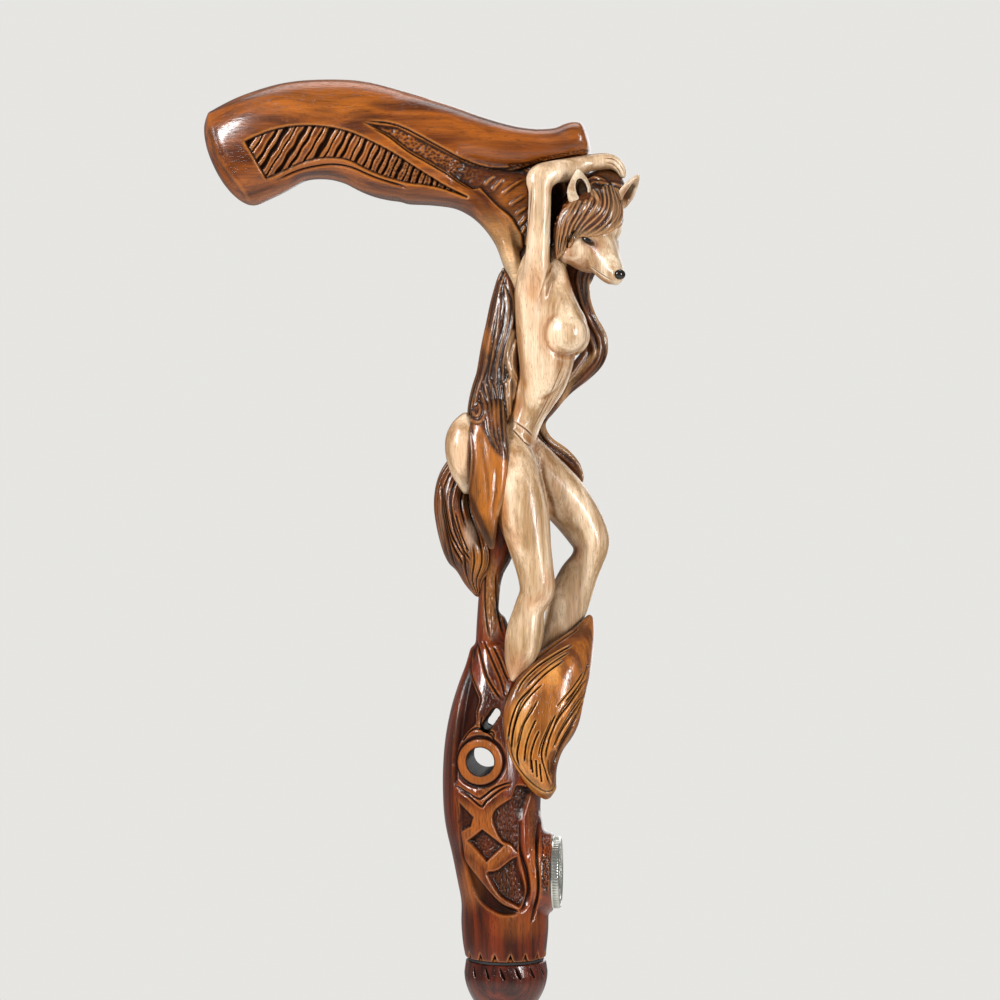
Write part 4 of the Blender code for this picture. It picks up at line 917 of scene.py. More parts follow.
def carve_trunk(carve):
    ring = (-9.8, 75)
    from_ring = np.hypot(*(carve.where - ring).T)
    # The rim's inner edge and the dark hollow beside it
    carve.recess(
        [
            (-13.2, 117.5), (-15, 111), (-17, 103), (-18.4, 95.6), (-19.5, 85.9), (-20, 74.4),
            (-19.6, 66), (-18.1, 68.6), (-18.4, 75.5), (-17.3, 81.3), (-14.4, 85.9), (-11.2, 89.3),
            (-11, 93.9), (-9.7, 98.5), (-11.5, 103.1), (-13.4, 108.8), (-12.8, 114.5),
        ],
        2.3, wall=1.9, burn_and_shade=0.82, edge_burn=0.9,
    )
    # The long grooves that run down from the feet to the slot
    for line in (
        [(-11.2, 121), (-9.5, 114.6), (-7.5, 107.7), (-3.5, 100.8), (-0.9, 97.9)],
        [(-8.6, 121), (-5.8, 114.6), (-1.8, 105.4), (-0.1, 99.1)],
        [(-5.2, 119), (-2.4, 113.4), (-0.1, 107.7), (1.7, 104.8)],
        [
            (-12.4, 122), (-13.2, 115.7), (-13.4, 108.8), (-11.4, 103.1), (-9.6, 98.5), (-11, 93.9),
            (-10.9, 89.3),
        ],
    ):
        carve.groove(line, 1.5, 0.9)
    carve.recess(
        [(-12.2, 125), (-10.8, 122), (-11, 116.5), (-12.6, 113), (-13, 118)],
        1.0, wall=0.8, burn_and_shade=0.6,
    )
    # The groove from the slot down to the ring, and the double outline above the ring
    carve.groove([(-8.9, 92.5), (-9.6, 89), (-7.6, 86.6), (-4.9, 86), (-4.6, 83.6)], 1.3, 0.9)
    carve.groove(
        [(-17.3, 81.3), (-14.4, 85.9), (-10.7, 87.6), (-5.8, 85.3), (-4.1, 82.4), (-0.6, 79.6)], 1.5, 1.0
    )
    # The raised ring round the eyelet
    moat = np.clip(1 - np.abs(from_ring - 9.3) / 1.1, 0, 1)
    carve.cut(1.1 * moat, 0.9 * np.clip(1.2 - np.abs(from_ring - 9.2), 0, 1))
    carve.depth -= 0.5 * ease(0, 1.6, 1.9 - np.abs(from_ring - 6.9)) * (carve.depth < 0.4)
    # Under the ring: the V-shaped groove and its lower edge
    carve.groove(
        [(-19.6, 66.4), (-14.8, 63.5), (-10.6, 61.2), (-8.6, 61.9), (-3.8, 65.4), (2.5, 67.5)], 1.4, 1.0
    )
    carve.groove(
        [(-18.5, 65.1), (-14.3, 62.3), (-9.4, 58.3), (-7.5, 60.2), (-2.2, 64.4), (2, 66.2)], 1.5, 0.9
    )
    # The cartouche: its dark crescent, the plate with a diamond, and the rough sunk grounds
    carve.recess(
        [
            (-19, 63), (-18.4, 57.7), (-17.6, 47.2), (-17, 40.9), (-15.4, 35.6), (-13.4, 28.3),
            (-10.3, 23), (-6.2, 19.3), (-1.2, 17.2), (3.6, 17.6), (4.4, 19.6), (-1.1, 21.8), (-5.9, 26.2),
            (-11.1, 32.5), (-15.2, 38.2), (-16.2, 44), (-17.2, 50), (-17.9, 58),
        ],
        1.7, wall=1.3, burn_and_shade=0.75, edge_burn=0.9,
    )
    carve.recess(
        [(-14.9, 45.4), (-9.1, 49.9), (-0.4, 43.5), (-7.5, 37.1)],
        1.9, wall=1.2, burn_and_shade=0.88, rough=0.6, steps=1,
    )
    carve.recess(
        [(-17.9, 60.2), (-12.2, 54.3), (-13.2, 50.6), (-17.3, 48.4), (-18.2, 52.5)],
        1.6, wall=1.2, burn_and_shade=0.9, rough=0.35, steps=1,
    )
    carve.recess(
        [
            (2, 61.4), (-3.8, 57.7), (-5.4, 54), (-4.3, 49.8), (-1.7, 45.1), (2, 43.5), (4.6, 41),
            (5.8, 45.1), (6.2, 52.5), (8.3, 59.3), (9.6, 65), (4.4, 66.4), (3, 64),
        ],
        1.7, wall=1.3, burn_and_shade=0.85, rough=0.7, size=(0.9, 1.9),
    )
    carve.recess(
        [
            (4.6, 39.6), (2, 38.6), (-3.3, 34.6), (-7.5, 33.5), (-5.9, 29.3), (-2.2, 24.1), (3.6, 20.9),
            (5.6, 20.4), (8, 23.5), (7.6, 27.7), (5.6, 34.6),
        ],
        1.8, wall=1.4, burn_and_shade=0.82, rough=0.75, size=(1, 2.4),
    )
    # The smooth ridge between two channels, and the strip beside the coin
    carve.groove(
        [(5.4, 56), (5.6, 49), (5.9, 42), (7.6, 34), (8.4, 27), (7.4, 21.5), (4.8, 18.4)],
        2.8, 1.6, 0.75,
    )
    carve.groove(
        [(12.4, 55), (12.3, 50), (11.7, 44), (11.5, 38), (12, 31), (11.9, 25.5), (10.6, 19), (9.2, 13.6)],
        1.9, 1.2, 0.75,
    )
    strip = inside(carve.where, [(13.4, 47.7), (16.9, 47.7), (17.2, 36), (15.6, 26), (13.2, 28)])
    carve.peck(ease(-0.2, 0.6, strip), 0.55, 0.3, (0.8, 1.5), 3.0)
    pitted = ease(-0.2, 0.6, inside(carve.where, [(8.4, 57), (12, 57), (11.2, 31), (9.4, 33)]))
    carve.peck(pitted, 0.22, 0, (0.9, 2.2), 5.0)
    foot_notches(carve)
    # The walls of the eyelet and the slot are painted black as shade
    side_on = carve.points[:, [0, 2]] - (0, CARVING_FOOT)
    slot_gap, _ = from_line(side_on, np.array([SLOT_TOP, SLOT_FOOT]), 6.0)
    eyelet_gap = np.hypot(*(side_on - (EYELET[0], EYELET[2])).T) - RING_HOLE_RADIUS
    bored = 1 - ease(0.15, 0.7, np.minimum(eyelet_gap, slot_gap - SLOT_HALF))
    carve.cut(0, 0.98 * bored)
    carve.facing = np.maximum(carve.facing, bored)
    # The ring and the plate are rubbed back to orange
    plate = [(-19, 62.5), (-9, 57), (-1, 62.5), (4, 60), (4, 42), (-6, 33), (-16.5, 41), (-17.6, 52)]
    on_plate = ease(-1.0, 2.5, inside(carve.where, plate)) * (carve.depth < 0.4)
    carve.wash("orange", 0.85 * ease(0, 1.2, 8.9 - from_ring))
    carve.wash("orange", 0.8 * on_plate)
    carve.peck(on_plate, 0.2, 0.22, (0.8, 3.2), 9.0)
    carve.dab("orange", (-13, 30, 6, 14, 0.7), (5, 14, 14, 8, 0.35))
    carve.streak("orange", 0.4, [(9.6, 62), (9.4, 44), (10.4, 28)], 2.4)
    # The branch is left rough from the gouge and dark along both sides; its pale brown middle is partly its
    # own colour and partly painted light on its lit face
    branch = patches(carve.where, (-5.4, 136, 5, 20, 1))
    carve.wash("pale", 0.8 * branch)
    carve.peck(branch, 0.5, 0.35, (1.2, 2.6), 7.0)
    for line in (
        [(-7.6, 150), (-8.2, 140), (-7.6, 130), (-5.6, 120)],
        [(-3.6, 148), (-3.4, 138), (-2.6, 130), (-0.4, 121)],
    ):
        carve.groove(line, 2.0, 0.7, 0.9, ends=0.2)


trunk_ash = lacquered_ash(
    "trunk_ash",
    ("68240a", "3a1205", "1a0904", "a65f28"),
    (("orange", "aa5f26", 0.85), ("pale", "a8743f", 0.8)),
    ring=0.3,
)
trunk = skin(
    "carved_trunk",
    [limb(TRUNK, blunt=0.1, sides=96), limb(BRANCH), limb(BRANCH_FOOT), limb(BOSS, blunt=0.1, sides=96)],
    0.8,
    0.33,
    cutters=trunk_cutters(),
)
carved(trunk, carve_trunk, trunk_ash, "trunk_wood", "trunk")

# The medallion: a disc struck in silver-plated brass, a rosette in a ring of beads, held in a ribbed bezel.
# It faces the way the figure faces, bedded in the boss at the trunk's foot.
MEDALLION_CENTRE = (COIN_FACE + FIT_GAP, 0.0, CARVING_FOOT + COIN_HEIGHT)


def aged_silver():
    """Silver plate, struck and polished on its ridges, gone dark in its hollows."""
    made, tree, shader, place = new_material("aged_silver")
    blotch = noise(tree, place, 420.0, 4.0)["Fac"]
    tarnish = figured(tree, "MULTIPLY_ADD", blotch, 0.35, noted(tree, "hollow"), use_clamp=True)
    tone = blend(tree, tarnish, linear("d3d4cd"), linear("53534b"))
    fill(tree, shader, {"Base Color": tone, "Roughness": ranged(tree, tarnish, 0.2, 0.5), "Metallic": 1.0})
    return made


def struck_section(angle):
    """The disc's section: a rim, a ring of beads, eight long petals over eight short ones, and a boss."""
    foot, petals, beads = BEZEL_FLOOR + FIT_GAP, 8, 40
    rim, rim_slope, bead_ring, bead_size, petal_foot, boss = 9.9, 0.3, 8.7, 0.62, 1.6, 1.9
    face, field, step = foot + COIN_THICKNESS, -0.55, 0.16
    rows = [(0.0, foot), (COIN_RADIUS, foot), (COIN_RADIUS, face - 0.35), (COIN_RADIUS - 0.1, face - 0.1)]
    petal = abs(math.cos(angle * petals / 2))
    between = abs(math.sin(angle * petals / 2))
    bead = abs((angle * beads / (2 * math.pi)) % 1.0 - 0.5) * 2 * math.pi * bead_ring / beads
    radius = COIN_RADIUS - 0.35
    while radius > 0.05:
        height = field
        if radius > rim:
            height = 0.0
        elif radius > rim - rim_slope:
            height = field * (rim - radius) / rim_slope
        lift = bead_size**2 - bead**2 - (radius - bead_ring) ** 2
        if lift > 0:
            height = max(height, field + math.sqrt(lift) * 0.8)
        for share, reach, wide in ((petal, 7.4, 0.95), (between, 5.2, 0.8)):
            along = (radius - petal_foot) / (reach - petal_foot)
            if 0 < along < 1:
                edge = share - (1 - wide * math.sin(math.pi * along) ** 0.7 * 0.5)
                if edge > 0:
                    vein = 0.1 * (share > 0.995)
                    height = max(height, field + min(0.6, 2.2 * math.sqrt(edge) * 0.5) - vein)
        if radius < boss:
            height = max(height, -0.45 + math.sqrt(boss**2 - radius**2) * 0.32)
        rows.append((radius, face + height))
        radius -= step
    return rows + [(0.0, face + 0.15)]


def bezel_section(angle):
    """The bezel's section, with 72 fine ribs round its side."""
    ribs, rib_depth = 72, 0.16
    low, high, rim = BEZEL_INSIDE, BEZEL_OUTSIDE, BEZEL_DEPTH
    side = high - 0.18 + rib_depth * abs(math.cos(angle * ribs / 2))
    rows = [(0, 0), (high, 0), (high, 0.5), (side, 0.7), (side, rim - 0.8)]
    rows += [(high - 0.1, rim - 0.5), (high - 0.5, rim - 0.1), (high - 0.7, rim), (low + 0.25, rim)]
    return rows + [(low, rim - 0.25), (low, BEZEL_FLOOR), (0, BEZEL_FLOOR)]


def faced(obj):
    """Turns a piece made upright to face forward at the medallion's place."""
    place = Matrix.Translation(Vector(MEDALLION_CENTRE) * MM)
    obj.data.transform(place @ Matrix.Rotation(math.radians(90), 4, "Y"))
    return obj


silver = aged_silver()
disc = faced(screw_turned("struck_disc", struck_section, 400))
note_relief(disc, (8, 0.12), (40, 0.5))
bezel = faced(screw_turned("ribbed_bezel", bezel_section, 360))
note_relief(bezel, (3, 0.10), (20, 0.5))
finish_piece(disc, "head", silver, "silver", "medallion_disc")
finish_piece(bezel, "head", silver, "silver", "medallion_bezel")

# The front tail: a leaf-shaped brush wrapped round the feet, its hair cut with a V-gouge and burnt.
# The middle is left smooth and rubbed pale; the tip curls up in front of the shin.
FRONT_TAIL = [
    (31.2, 5, 129, 1.6, 2.2),
    (28.4, 2, 122, 5, 6),
    (23.2, -2, 113, 9.8, 9.4),
    (17.4, -5.4, 103, 13.2, 10.8),
    (13.8, -7.6, 93, 14.1, 10.6),
    (11.9, -8.7, 83, 11.5, 9.6),
    (13, -9.4, 74, 7.4, 8.2),
    (15.6, -9.4, 66.6, 4.2, 5.6),
]
FRONT_RIM = [
    (24.6, -3.6, 119.6, 2, 2.6),
    (18.6, -7, 115, 2.8, 2.8),
    (12.8, -10.2, 110.4, 3.2, 3),
    (8.2, -12, 105.6, 3.3, 3),
    (5, -13.2, 100, 3.3, 3),
    (3.2, -13.6, 94, 3.4, 3),
    (3, -13.6, 87, 3.4, 3),
    (5, -13.4, 80, 3.4, 2.9),
    (8.6, -12.8, 73.5, 3.2, 2.8),
    (12.6, -11.4, 67.4, 2.8, 2.8),
    (16.2, -10.4, 64.6, 2.6, 2.8),
]


def carve_front_tail(carve):
    for line in (
        [(27.2, 125.2), (20, 120.4), (13.1, 115.2), (7.4, 110.6), (2.8, 106)],
        [(25.2, 119.1), (18.9, 115.7), (12, 111.1), (6.2, 105.4), (4, 100.8)],
        [(22.3, 113.4), (15.4, 108.8), (9.7, 103.1), (5.1, 97.9), (2.6, 92.4), (1.2, 87), (0.6, 82)],
        [(14, 104.6), (8.9, 99.9), (5.4, 95), (3.5, 89.9), (2.4, 84.7), (1.8, 78.4)],
        [(12, 98.6), (9.4, 93.9), (6.6, 89.3), (5, 83.6), (4, 77.2), (5.1, 72.6)],
        [(11.4, 91.3), (8.6, 85.3), (7.2, 80.1), (6.6, 74.4)],
        [(12.6, 87), (10.4, 82), (9.2, 77), (9.4, 71)],
        [(31, 112.3), (29.2, 106.5), (26.3, 101.9), (22.3, 97.3)],
        [(30.4, 106.5), (27.5, 101.9), (23.5, 96.2), (20, 91.6), (17.2, 85.9), (15.4, 80.1), (14.9, 75.5)],
        [(30.6, 102.6), (28.1, 97.3), (24, 91.6), (20.6, 85.9), (17.7, 80.1)],
        [(28.6, 96.8), (25.8, 90.4), (22.3, 84.7), (18.9, 79)],
        [(25.6, 88.8), (22.4, 83.4), (19.8, 78.6), (18, 73.6)],
        [(18.9, 93.3), (16.6, 88.1), (14.3, 82.4), (13.4, 77.2), (14.9, 71.5), (16.6, 66.3)],
        [(9.4, 75.8), (9.9, 70.6)],
        [(11.2, 76), (11.6, 68.8)],
        [(12.7, 74.6), (13.4, 67)],
        [(16.2, 76), (16.6, 70)],
    ):
        carve.groove(line, 1.25, 1.15, 0.95, ends=0.1)
    # Finer cuts between the deep ones, on the left and along the right edge
    for line in (
        [(24, 116.4), (17.6, 112.4), (11.4, 107.4), (6.6, 102.2)],
        [(10.4, 103), (6.2, 98.2), (4, 92.6), (2.7, 87.6)],
        [(10.6, 97.4), (7.6, 92), (5.2, 87), (3.9, 80.6)],
        [(29.6, 109.6), (26.4, 104.6), (22.6, 99.8), (18.8, 95.4)],
        [(28, 104.4), (24.4, 98.8), (20.6, 93.8), (17.6, 88)],
        [(28.8, 100), (24.6, 94), (21, 88), (18.2, 82.6)],
        [(27.4, 93.4), (24.2, 88), (20.8, 82.4)],
        [(29.8, 99), (26.8, 93), (23.2, 87), (19.6, 81)],
        [(26.6, 91), (23.4, 85.8), (20, 79.8), (18.2, 75)],
        [(17.4, 91.6), (15.2, 86.4), (13, 81), (12.2, 76.4)],
    ):
        carve.groove(line, 1.0, 0.7, 0.85, ends=0.15)
    rim = [(1.2, 84), (2.4, 77), (5.8, 71), (10.8, 66), (14.8, 63.8), (17.4, 64.4), (18.6, 66.4), (18.6, 70)]
    carve.groove(rim, 1.1, 0.5, 0.6)
    # A hollow pocket beside the curled end, and the ridge that runs down into it
    carve.recess(
        [(19.6, 80), (16.6, 79), (14.9, 74), (16.4, 69.6), (18.4, 72)],
        0.8, wall=1.4, burn_and_shade=0.25, edge_burn=0.3,
    )
    carve.ridge([(16, 84), (14, 78), (14.6, 72), (17.4, 66)], 1.6, 0.5)
    # Dark along the feet, pale on the left-hand locks, golden in the smooth middle
    upper_edge = [(28, 124), (21, 118), (13, 112.6), (7, 106.6), (3.4, 100.6)]
    carve.streak("dark", 0.95, upper_edge, 6.0)
    carve.dab("dark", (30, 128, 3, 7, 0.6), (18.6, 74, 3, 6, 0.5))
    carve.dab("pale", (6, 92, 5, 15, 0.8), (17.5, 109, 4, 10, 0.7))
    carve.dab("gold", (18, 93, 9, 16, 1), (25, 106, 6, 9, 0.7))
    carve.streak("pale", 0.6, [(3, 80), (8, 70), (14, 64), (18.4, 65.6)], 2.4)


brush_ash = lacquered_ash(
    "brush_ash",
    ("a9621f", "6e3812", "220d05", "d2944e"),
    (("pale", "cf9652", 0.75), ("gold", "b86f2a", 0.65), ("dark", "4a200d", 0.9)),
    ring=0.3,
)
front_tail = skin("front_brush", [limb(FRONT_TAIL, sides=96), limb(FRONT_RIM)], 0.7, 0.28)
carved(front_tail, carve_front_tail, brush_ash, "tail_wood", "front_tail")

# The rear tail: a dark brush that hangs behind the hips, its hair in a few long twisting locks.
# It is carved all round, so the cuts follow the angle round its spine.
REAR_TAIL = [
    (-14, 0, 190, 5, 8),
    (-18.6, 0, 181.5, 6.6, 9.8),
    (-19.6, 0, 173, 7.6, 11),
    (-17.4, 0, 164.8, 9, 11.8),
    (-14.2, 0, 157, 10, 11.6),
    (-11.8, 0, 150, 8.8, 10.2),
    (-11.4, 0, 143.2, 4.8, 7.2),
    (-10.2, 0, 138, 1.8, 3.6),
]


def round_spine(points, rows):
    """Each point's share of the way along a form and its angle round it, 0 on the form's across side."""
    rows = through(rows, 12)
    centres, along, across, aside = spine_frame(rows, (0, 1, 0))
    centres = centres + (0, 0, CARVING_FOOT)
    nearest, at_once = np.empty(len(points), int), 20000
    for start in range(0, len(points), at_once):
        part = points[start:start + at_once]
        away = ((part[:, None, :] - centres[None]) ** 2).sum(2)
        nearest[start:start + at_once] = away.argmin(1)
    offset = points - centres[nearest]
    spacing = np.linalg.norm(np.diff(centres, axis=0), axis=1).mean()
    share = (nearest + (offset * along[nearest]).sum(1) / spacing) / (len(rows) - 1)
    wide = (offset * across[nearest]).sum(1) / rows[nearest, 3]
    deep = (offset * aside[nearest]).sum(1) / rows[nearest, 4]
    return share, np.arctan2(deep, wide)


def comb(carve, share, angle, keep):
    """Long locks of hair round a form: deep cuts between them and finer ones along them."""
    count, depth, burn_and_shade, twist, wave, fine = 15, 0.7, 0.75, 0.16, 0.22, 3
    run = count * (angle / (2 * math.pi) + twist * share)
    run = run + wave * np.sin(5.1 * share + 3 * angle) + 0.5 * wave * np.sin(11.3 * share - 2 * angle + 1.0)
    beat = 2 * np.abs(run - np.round(run))
    deep = 1 - ease(0.0, 0.5, beat)
    small = 2 * np.abs(fine * run - np.round(fine * run))
    shallow = 1 - ease(0.0, 0.7, small)
    lift = 0.35 * depth * ease(0.3, 1.0, beat)
    carve.cut((depth * deep + 0.28 * depth * shallow - lift) * keep, 0, add=True)
    carve.scorch_and_shade(np.maximum(burn_and_shade * deep**1.3, 0.55 * burn_and_shade * shallow) * keep)


def carve_rear_tail(carve):
    share, angle = round_spine(carve.points, REAR_TAIL)
    lobe = ease(0, 3.0, 4.4 - np.hypot(carve.where[:, 0] + 13.3, 0.55 * (carve.where[:, 1] - 160.0)))
    comb(carve, share, angle, 1 - lobe)
    for line in (
        [(-23.6, 176), (-21.7, 163.4), (-18, 155), (-13.8, 149.2)],
        [(-20.9, 170.8), (-19.6, 162.3), (-16.5, 155), (-12.8, 150.2)],
        [(-19.1, 168.7), (-17, 160.8), (-13.8, 152.9)],
        [(-24.6, 181), (-23.6, 170), (-21, 158), (-15.4, 147.6)],
    ):
        carve.groove(line, 1.5, 0.9, 0.95)
    # The cord along its inner edge, the pale lobe, partly its own colour and partly painted highlight, a
    # painted highlight down the left edge, and the golden foot
    carve.groove([(-12.6, 172), (-10.2, 164), (-7.2, 157), (-5.6, 151)], 1.1, 0.6, 0.9)
    carve.ridge([(-13.6, 174), (-11.4, 166), (-8.4, 158.5), (-6.6, 151.6), (-8.4, 143)], 1.6, 0.5)
    carve.dab("pale", (-13.6, 160, 4, 8, 1), (-24.4, 164, 2, 16, 0.35))
    carve.dab("gold", (-10.4, 150, 4.6, 9, 1), (-16.6, 156, 2.4, 9, 0.5))


rear_ash = lacquered_ash(
    "rear_brush_ash",
    ("693414", "3c1a09", "160804", "b0703a"),
    (("pale", "b0937c", 0.75), ("gold", "b8742e", 0.8)),
    ring=0.3,
)
rear_tail = skin("rear_brush", [limb(REAR_TAIL, sides=96)], 0.8, 0.28)
carved(rear_tail, carve_rear_tail, rear_ash, "tail_wood", "rear_tail")

# The figure: pale ash left nearly bare, carved smooth, with its arms raised over the head and its knees bent.
# Honey stain and painted shade lie in the hollows; the growth rings close into ovals on every swelling.
TORSO = [
    (20, -0.5, 266, 4, 4),
    (17, 0, 259, 5.5, 6.5),
    (13.5, 0, 251, 9.5, 12),
    (14.8, 0, 243, 10.8, 12.8),
    (15.5, 0, 235, 11, 12.6),
    (15.2, 0, 227, 10.6, 12),
    (13.6, 0, 219, 9.6, 11.2),
    (10.5, 0, 211.5, 8, 10.2),
    (7.8, 0, 205, 6.6, 9.6),
    (5.2, 0, 198.5, 7, 10.4),
    (1.2, 0, 191.5, 11.5, 12.6),
    (-2, 0, 183.5, 14, 13.6),
    (0, 0, 175.5, 12, 12.6),
    (4, 0, 169, 8, 10),
]
NEAR_ARM = [
    (11, -9, 246, 5, 4),
    (12.2, -11.5, 256, 4.9, 4.4),
    (13, -12.6, 268, 4.4, 4.2),
    (13.6, -12.9, 281, 4.2, 4),
    (13.7, -12.6, 287.6, 4.3, 4.1),
    (13.9, -12.2, 292, 5.3, 4.1),
    (18.6, -10.4, 294.6, 4.3, 3.9),
    (24, -7, 296, 4.2, 3.8),
    (30, -4, 298.4, 3.3, 3.6),
    (35.4, -1.8, 299.4, 3.2, 4.2),
    (39.6, -0.6, 299.4, 2.9, 4.4),
    (42.6, 0.2, 297.4, 2.2, 4.1),
    (44, 0.8, 294.4, 1.4, 3.2),
]
FAR_ARM = [
    (11, 9, 246, 5, 4),
    (12.2, 11.5, 256, 4.9, 4.4),
    (13, 12.6, 268, 4.4, 4.2),
    (13.6, 12.9, 281, 4.2, 4),
    (13.6, 12.6, 289, 4.1, 4.1),
    (17.2, 11.2, 293.2, 4, 3.9),
    (22, 7, 294.4, 3.5, 3.5),
    (24.6, 1.6, 295, 3.1, 3.2),
    (25.4, -3.6, 294.8, 2.6, 3),
]
NEAR_LEG = [
    (0, -6.5, 190, 10.5, 8),
    (4.6, -8.3, 180, 9.9, 8.4),
    (7.2, -9.6, 168, 9.8, 8.4),
    (9.6, -9.8, 157, 8.2, 7.6),
    (11.6, -9.6, 147.5, 7, 6.8),
    (12.4, -9.4, 139.8, 6.6, 6.4),
    (9.6, -9.2, 133.4, 5.7, 5.8),
    (8.2, -9, 126, 6.9, 6.2),
    (6.8, -8.8, 118.6, 6.8, 6),
    (4.8, -8.4, 112, 4.8, 4.8),
    (3.4, -8.6, 106.5, 2, 3.2),
]
FAR_LEG = [
    (3, 6, 190, 11, 8),
    (11, 8, 183, 10.4, 8.8),
    (19.8, 9.2, 175, 9.6, 8.4),
    (26.9, 9.6, 166, 8.6, 7.6),
    (31.2, 9.6, 157.6, 7.4, 6.6),
    (30.2, 9.4, 151, 6.2, 5.9),
    (26.4, 9, 144, 7.4, 6.2),
    (23, 8.6, 135, 8, 6.4),
    (20.4, 8, 126, 7, 6.2),
    (17, 6.6, 117, 5.6, 5.2),
    (14, 5, 109, 3.8, 4),
]
NEAR_CHEST = [
    (19, -2.6, 265, 2.6, 3.6),
    (18.8, -5, 257, 4.6, 4.8),
    (19.8, -6.4, 249, 6, 5.6),
    (21.2, -6.8, 243, 7, 5.8),
    (22.6, -6.8, 237, 7.2, 6.4),
]
BUST = [(21.8, 5.0, 238.0, 8.6, 7.4, 10.0), (23.3, 7.2, 235.2, 8.0, 6.8, 8.0)]
NEAR_FLANK = [
    (11.4, -9, 268, 1.6, 2.6),
    (9.4, -8.8, 260.5, 3.5, 4),
    (8.8, -8.8, 252, 4.9, 4.9),
    (9.8, -8.6, 244, 5.8, 5.4),
    (10.6, -7.6, 236, 6.2, 5.8),
    (10.8, -6.4, 227, 5.6, 6),
    (10.8, -5.6, 218, 4.6, 5.2),
    (10.6, -4.4, 211, 2.6, 3.6),
]
NEAR_HIP = [
    (-14.6, -5.6, 204.8, 1.6, 3),
    (-14.8, -7, 201, 5.2, 5.6),
    (-14.9, -8, 195.6, 7.2, 6.8),
    (-14.7, -8.4, 188.6, 6.9, 6.8),
    (-14.4, -8, 182, 4.9, 5.8),
    (-14.2, -7.2, 176.6, 1.8, 3.4),
]
FAR_CHEST, FAR_FLANK, FAR_HIP = [
    [(x, -y, *rest) for x, y, *rest in rows] for rows in (NEAR_CHEST, NEAR_FLANK, NEAR_HIP)
]


def carve_figure(carve):
    x, z = carve.where.T
    from_bust = np.hypot(x - 23.0, z - 235.4)
    under = ease(0, 6, 5.0 - (x - 20.0) * 0.8 - (z - 236.0) * 0.6)
    crease = np.clip(1 - np.abs(from_bust - 8.3) / 1.5, 0, 1) * under
    carve.cut(0.4 * crease, 0.0)
    # The cord round the waist, the step under the rib cage, and the fold and ridge before the armpit
    for line in ([(2, 203.3), (7.7, 199.6), (10.6, 196.4)], [(2, 200.1), (6.7, 195.4), (10, 192.6)]):
        carve.groove(line, 1.0, 0.5, 0.5, ends=0.3)
    carve.groove([(9.8, 210.6), (15.1, 211.7), (19.8, 214.8), (23.5, 219)], 3.0, 0.5, 0.0, ends=0.4)
    carve.groove([(17.6, 262.6), (15.8, 257.4), (13.4, 251), (12.6, 246)], 3.0, 0.7, 0.0, ends=0.3)
    carve.ridge([(18.6, 262.6), (17, 258.4), (14.6, 253.2)], 1.4, 0.4, ends=0.4)
    # The fingers, and the line between the shoulder and the back
    for line in (
        [(36, 301.4), (40.4, 301), (43.4, 298), (44.6, 294.8)],
        [(36.6, 299.8), (40, 299.2), (42.4, 296.6), (43.6, 293.6)],
    ):
        carve.groove(line, 0.8, 0.35, 0.3, ends=0.3)
    carve.groove([(9.6, 292), (8.6, 282), (7.4, 271), (6.8, 264)], 1.6, 0.7, 0.5, ends=0.2)
    # The armpit's hollow, and the ridge down the shoulder above it
    hollow = 1 - ease(0.2, 1.0, np.hypot((x - 11.0) / 4.6, (z - 255.0) / 8.5))
    carve.cut(0.9 * hollow, 0.0)
    carve.ridge([(11.6, 291), (11.2, 280), (11.8, 271)], 3.2, 0.35, ends=0.1)
    # Fine strands carved down the belly's front edge, and the pitted groove down the thigh
    for shift in (0.0, 1.7, 3.3):
        carve.groove(
            [
                (25.1 - shift, 226.0), (21.4 - shift, 216.0), (14.0 - shift * 0.7, 203.0),
                (10.2 - shift * 0.5, 198.0),
            ],
            0.8, 0.35, 0.15, ends=0.3,
        )
    carve.groove([(12.5, 192.3), (14, 181.3), (16.7, 170.8), (17.5, 163.4)], 4.0, 0.7, 0.0, ends=0.3)
    pitted = along_line(carve.where, [(11.6, 194), (13.6, 183), (16.6, 172)], 2.4)
    carve.peck(pitted, 0.22, 0.3, (0.8, 1.3))
    # Honey stain and painted shade left in the hollows and along the edges
    carve.wash("honey", 0.75 * np.clip(1 - np.abs(from_bust - 9.2) / 3.2, 0, 1) * under)
    carve.streak("honey", 0.3, [(12.5, 192.3), (14, 181.3), (16.7, 170.8), (17.5, 160)], 3.4)
    carve.streak("honey", 0.7, [(3.4, 205), (8, 197.6), (11.6, 192)], 3.0)
    carve.streak("honey", 0.6, [(1.6, 258), (4.6, 246), (5.2, 232), (5, 216)], 2.0)
    carve.dab(
        "honey",
        (10.8, 254, 7.5, 13.5, 0.6), (9.6, 252, 3.6, 7, 0.7), (13.6, 265, 4, 7, 0.3),
        (8.6, 281, 2, 14, 0.6), (17.2, 289.6, 4, 3, 0.5), (34, 296.6, 9, 2.2, 0.6),
        (3.8, 208, 4.6, 8.5, 0.95), (20, 220, 8, 5, 0.25), (-1.6, 168, 4.4, 15, 1),
        (2.4, 158, 5, 8, 0.6), (16, 143, 3.6, 7, 0.6), (10.6, 135, 6, 4, 0.45),
        (4, 110, 6.5, 9, 0.9), (-0.6, 118, 3, 9, 0.5), (20.4, 116, 8, 12, 0.85),
        (21, 158, 4.6, 8, 0.6), (24.6, 170, 5, 5, 0.3), (15.4, 188, 5, 8, 0.5),
        (24, 128, 3, 14, 0.35), (24.6, 256, 4, 8, 0.9), (-19.6, 199, 4, 7, 0.5),
        (-16, 192, 7, 15, 0.45), (20.6, 224.6, 6, 4.4, 0.5), (6.8, 220, 4.2, 12, 0.5),
        (9.8, 243, 3.4, 11, 0.3), (16.8, 208.6, 5, 6, 0.5), (2.6, 190, 3.4, 6, 0.4),
        (18.8, 178, 3.6, 7, 0.4), (26.6, 152.6, 3, 7, 0.5), (13.4, 136.6, 3.4, 3.6, 0.6),
        (15.8, 262, 2.4, 8, 0.5),
    )


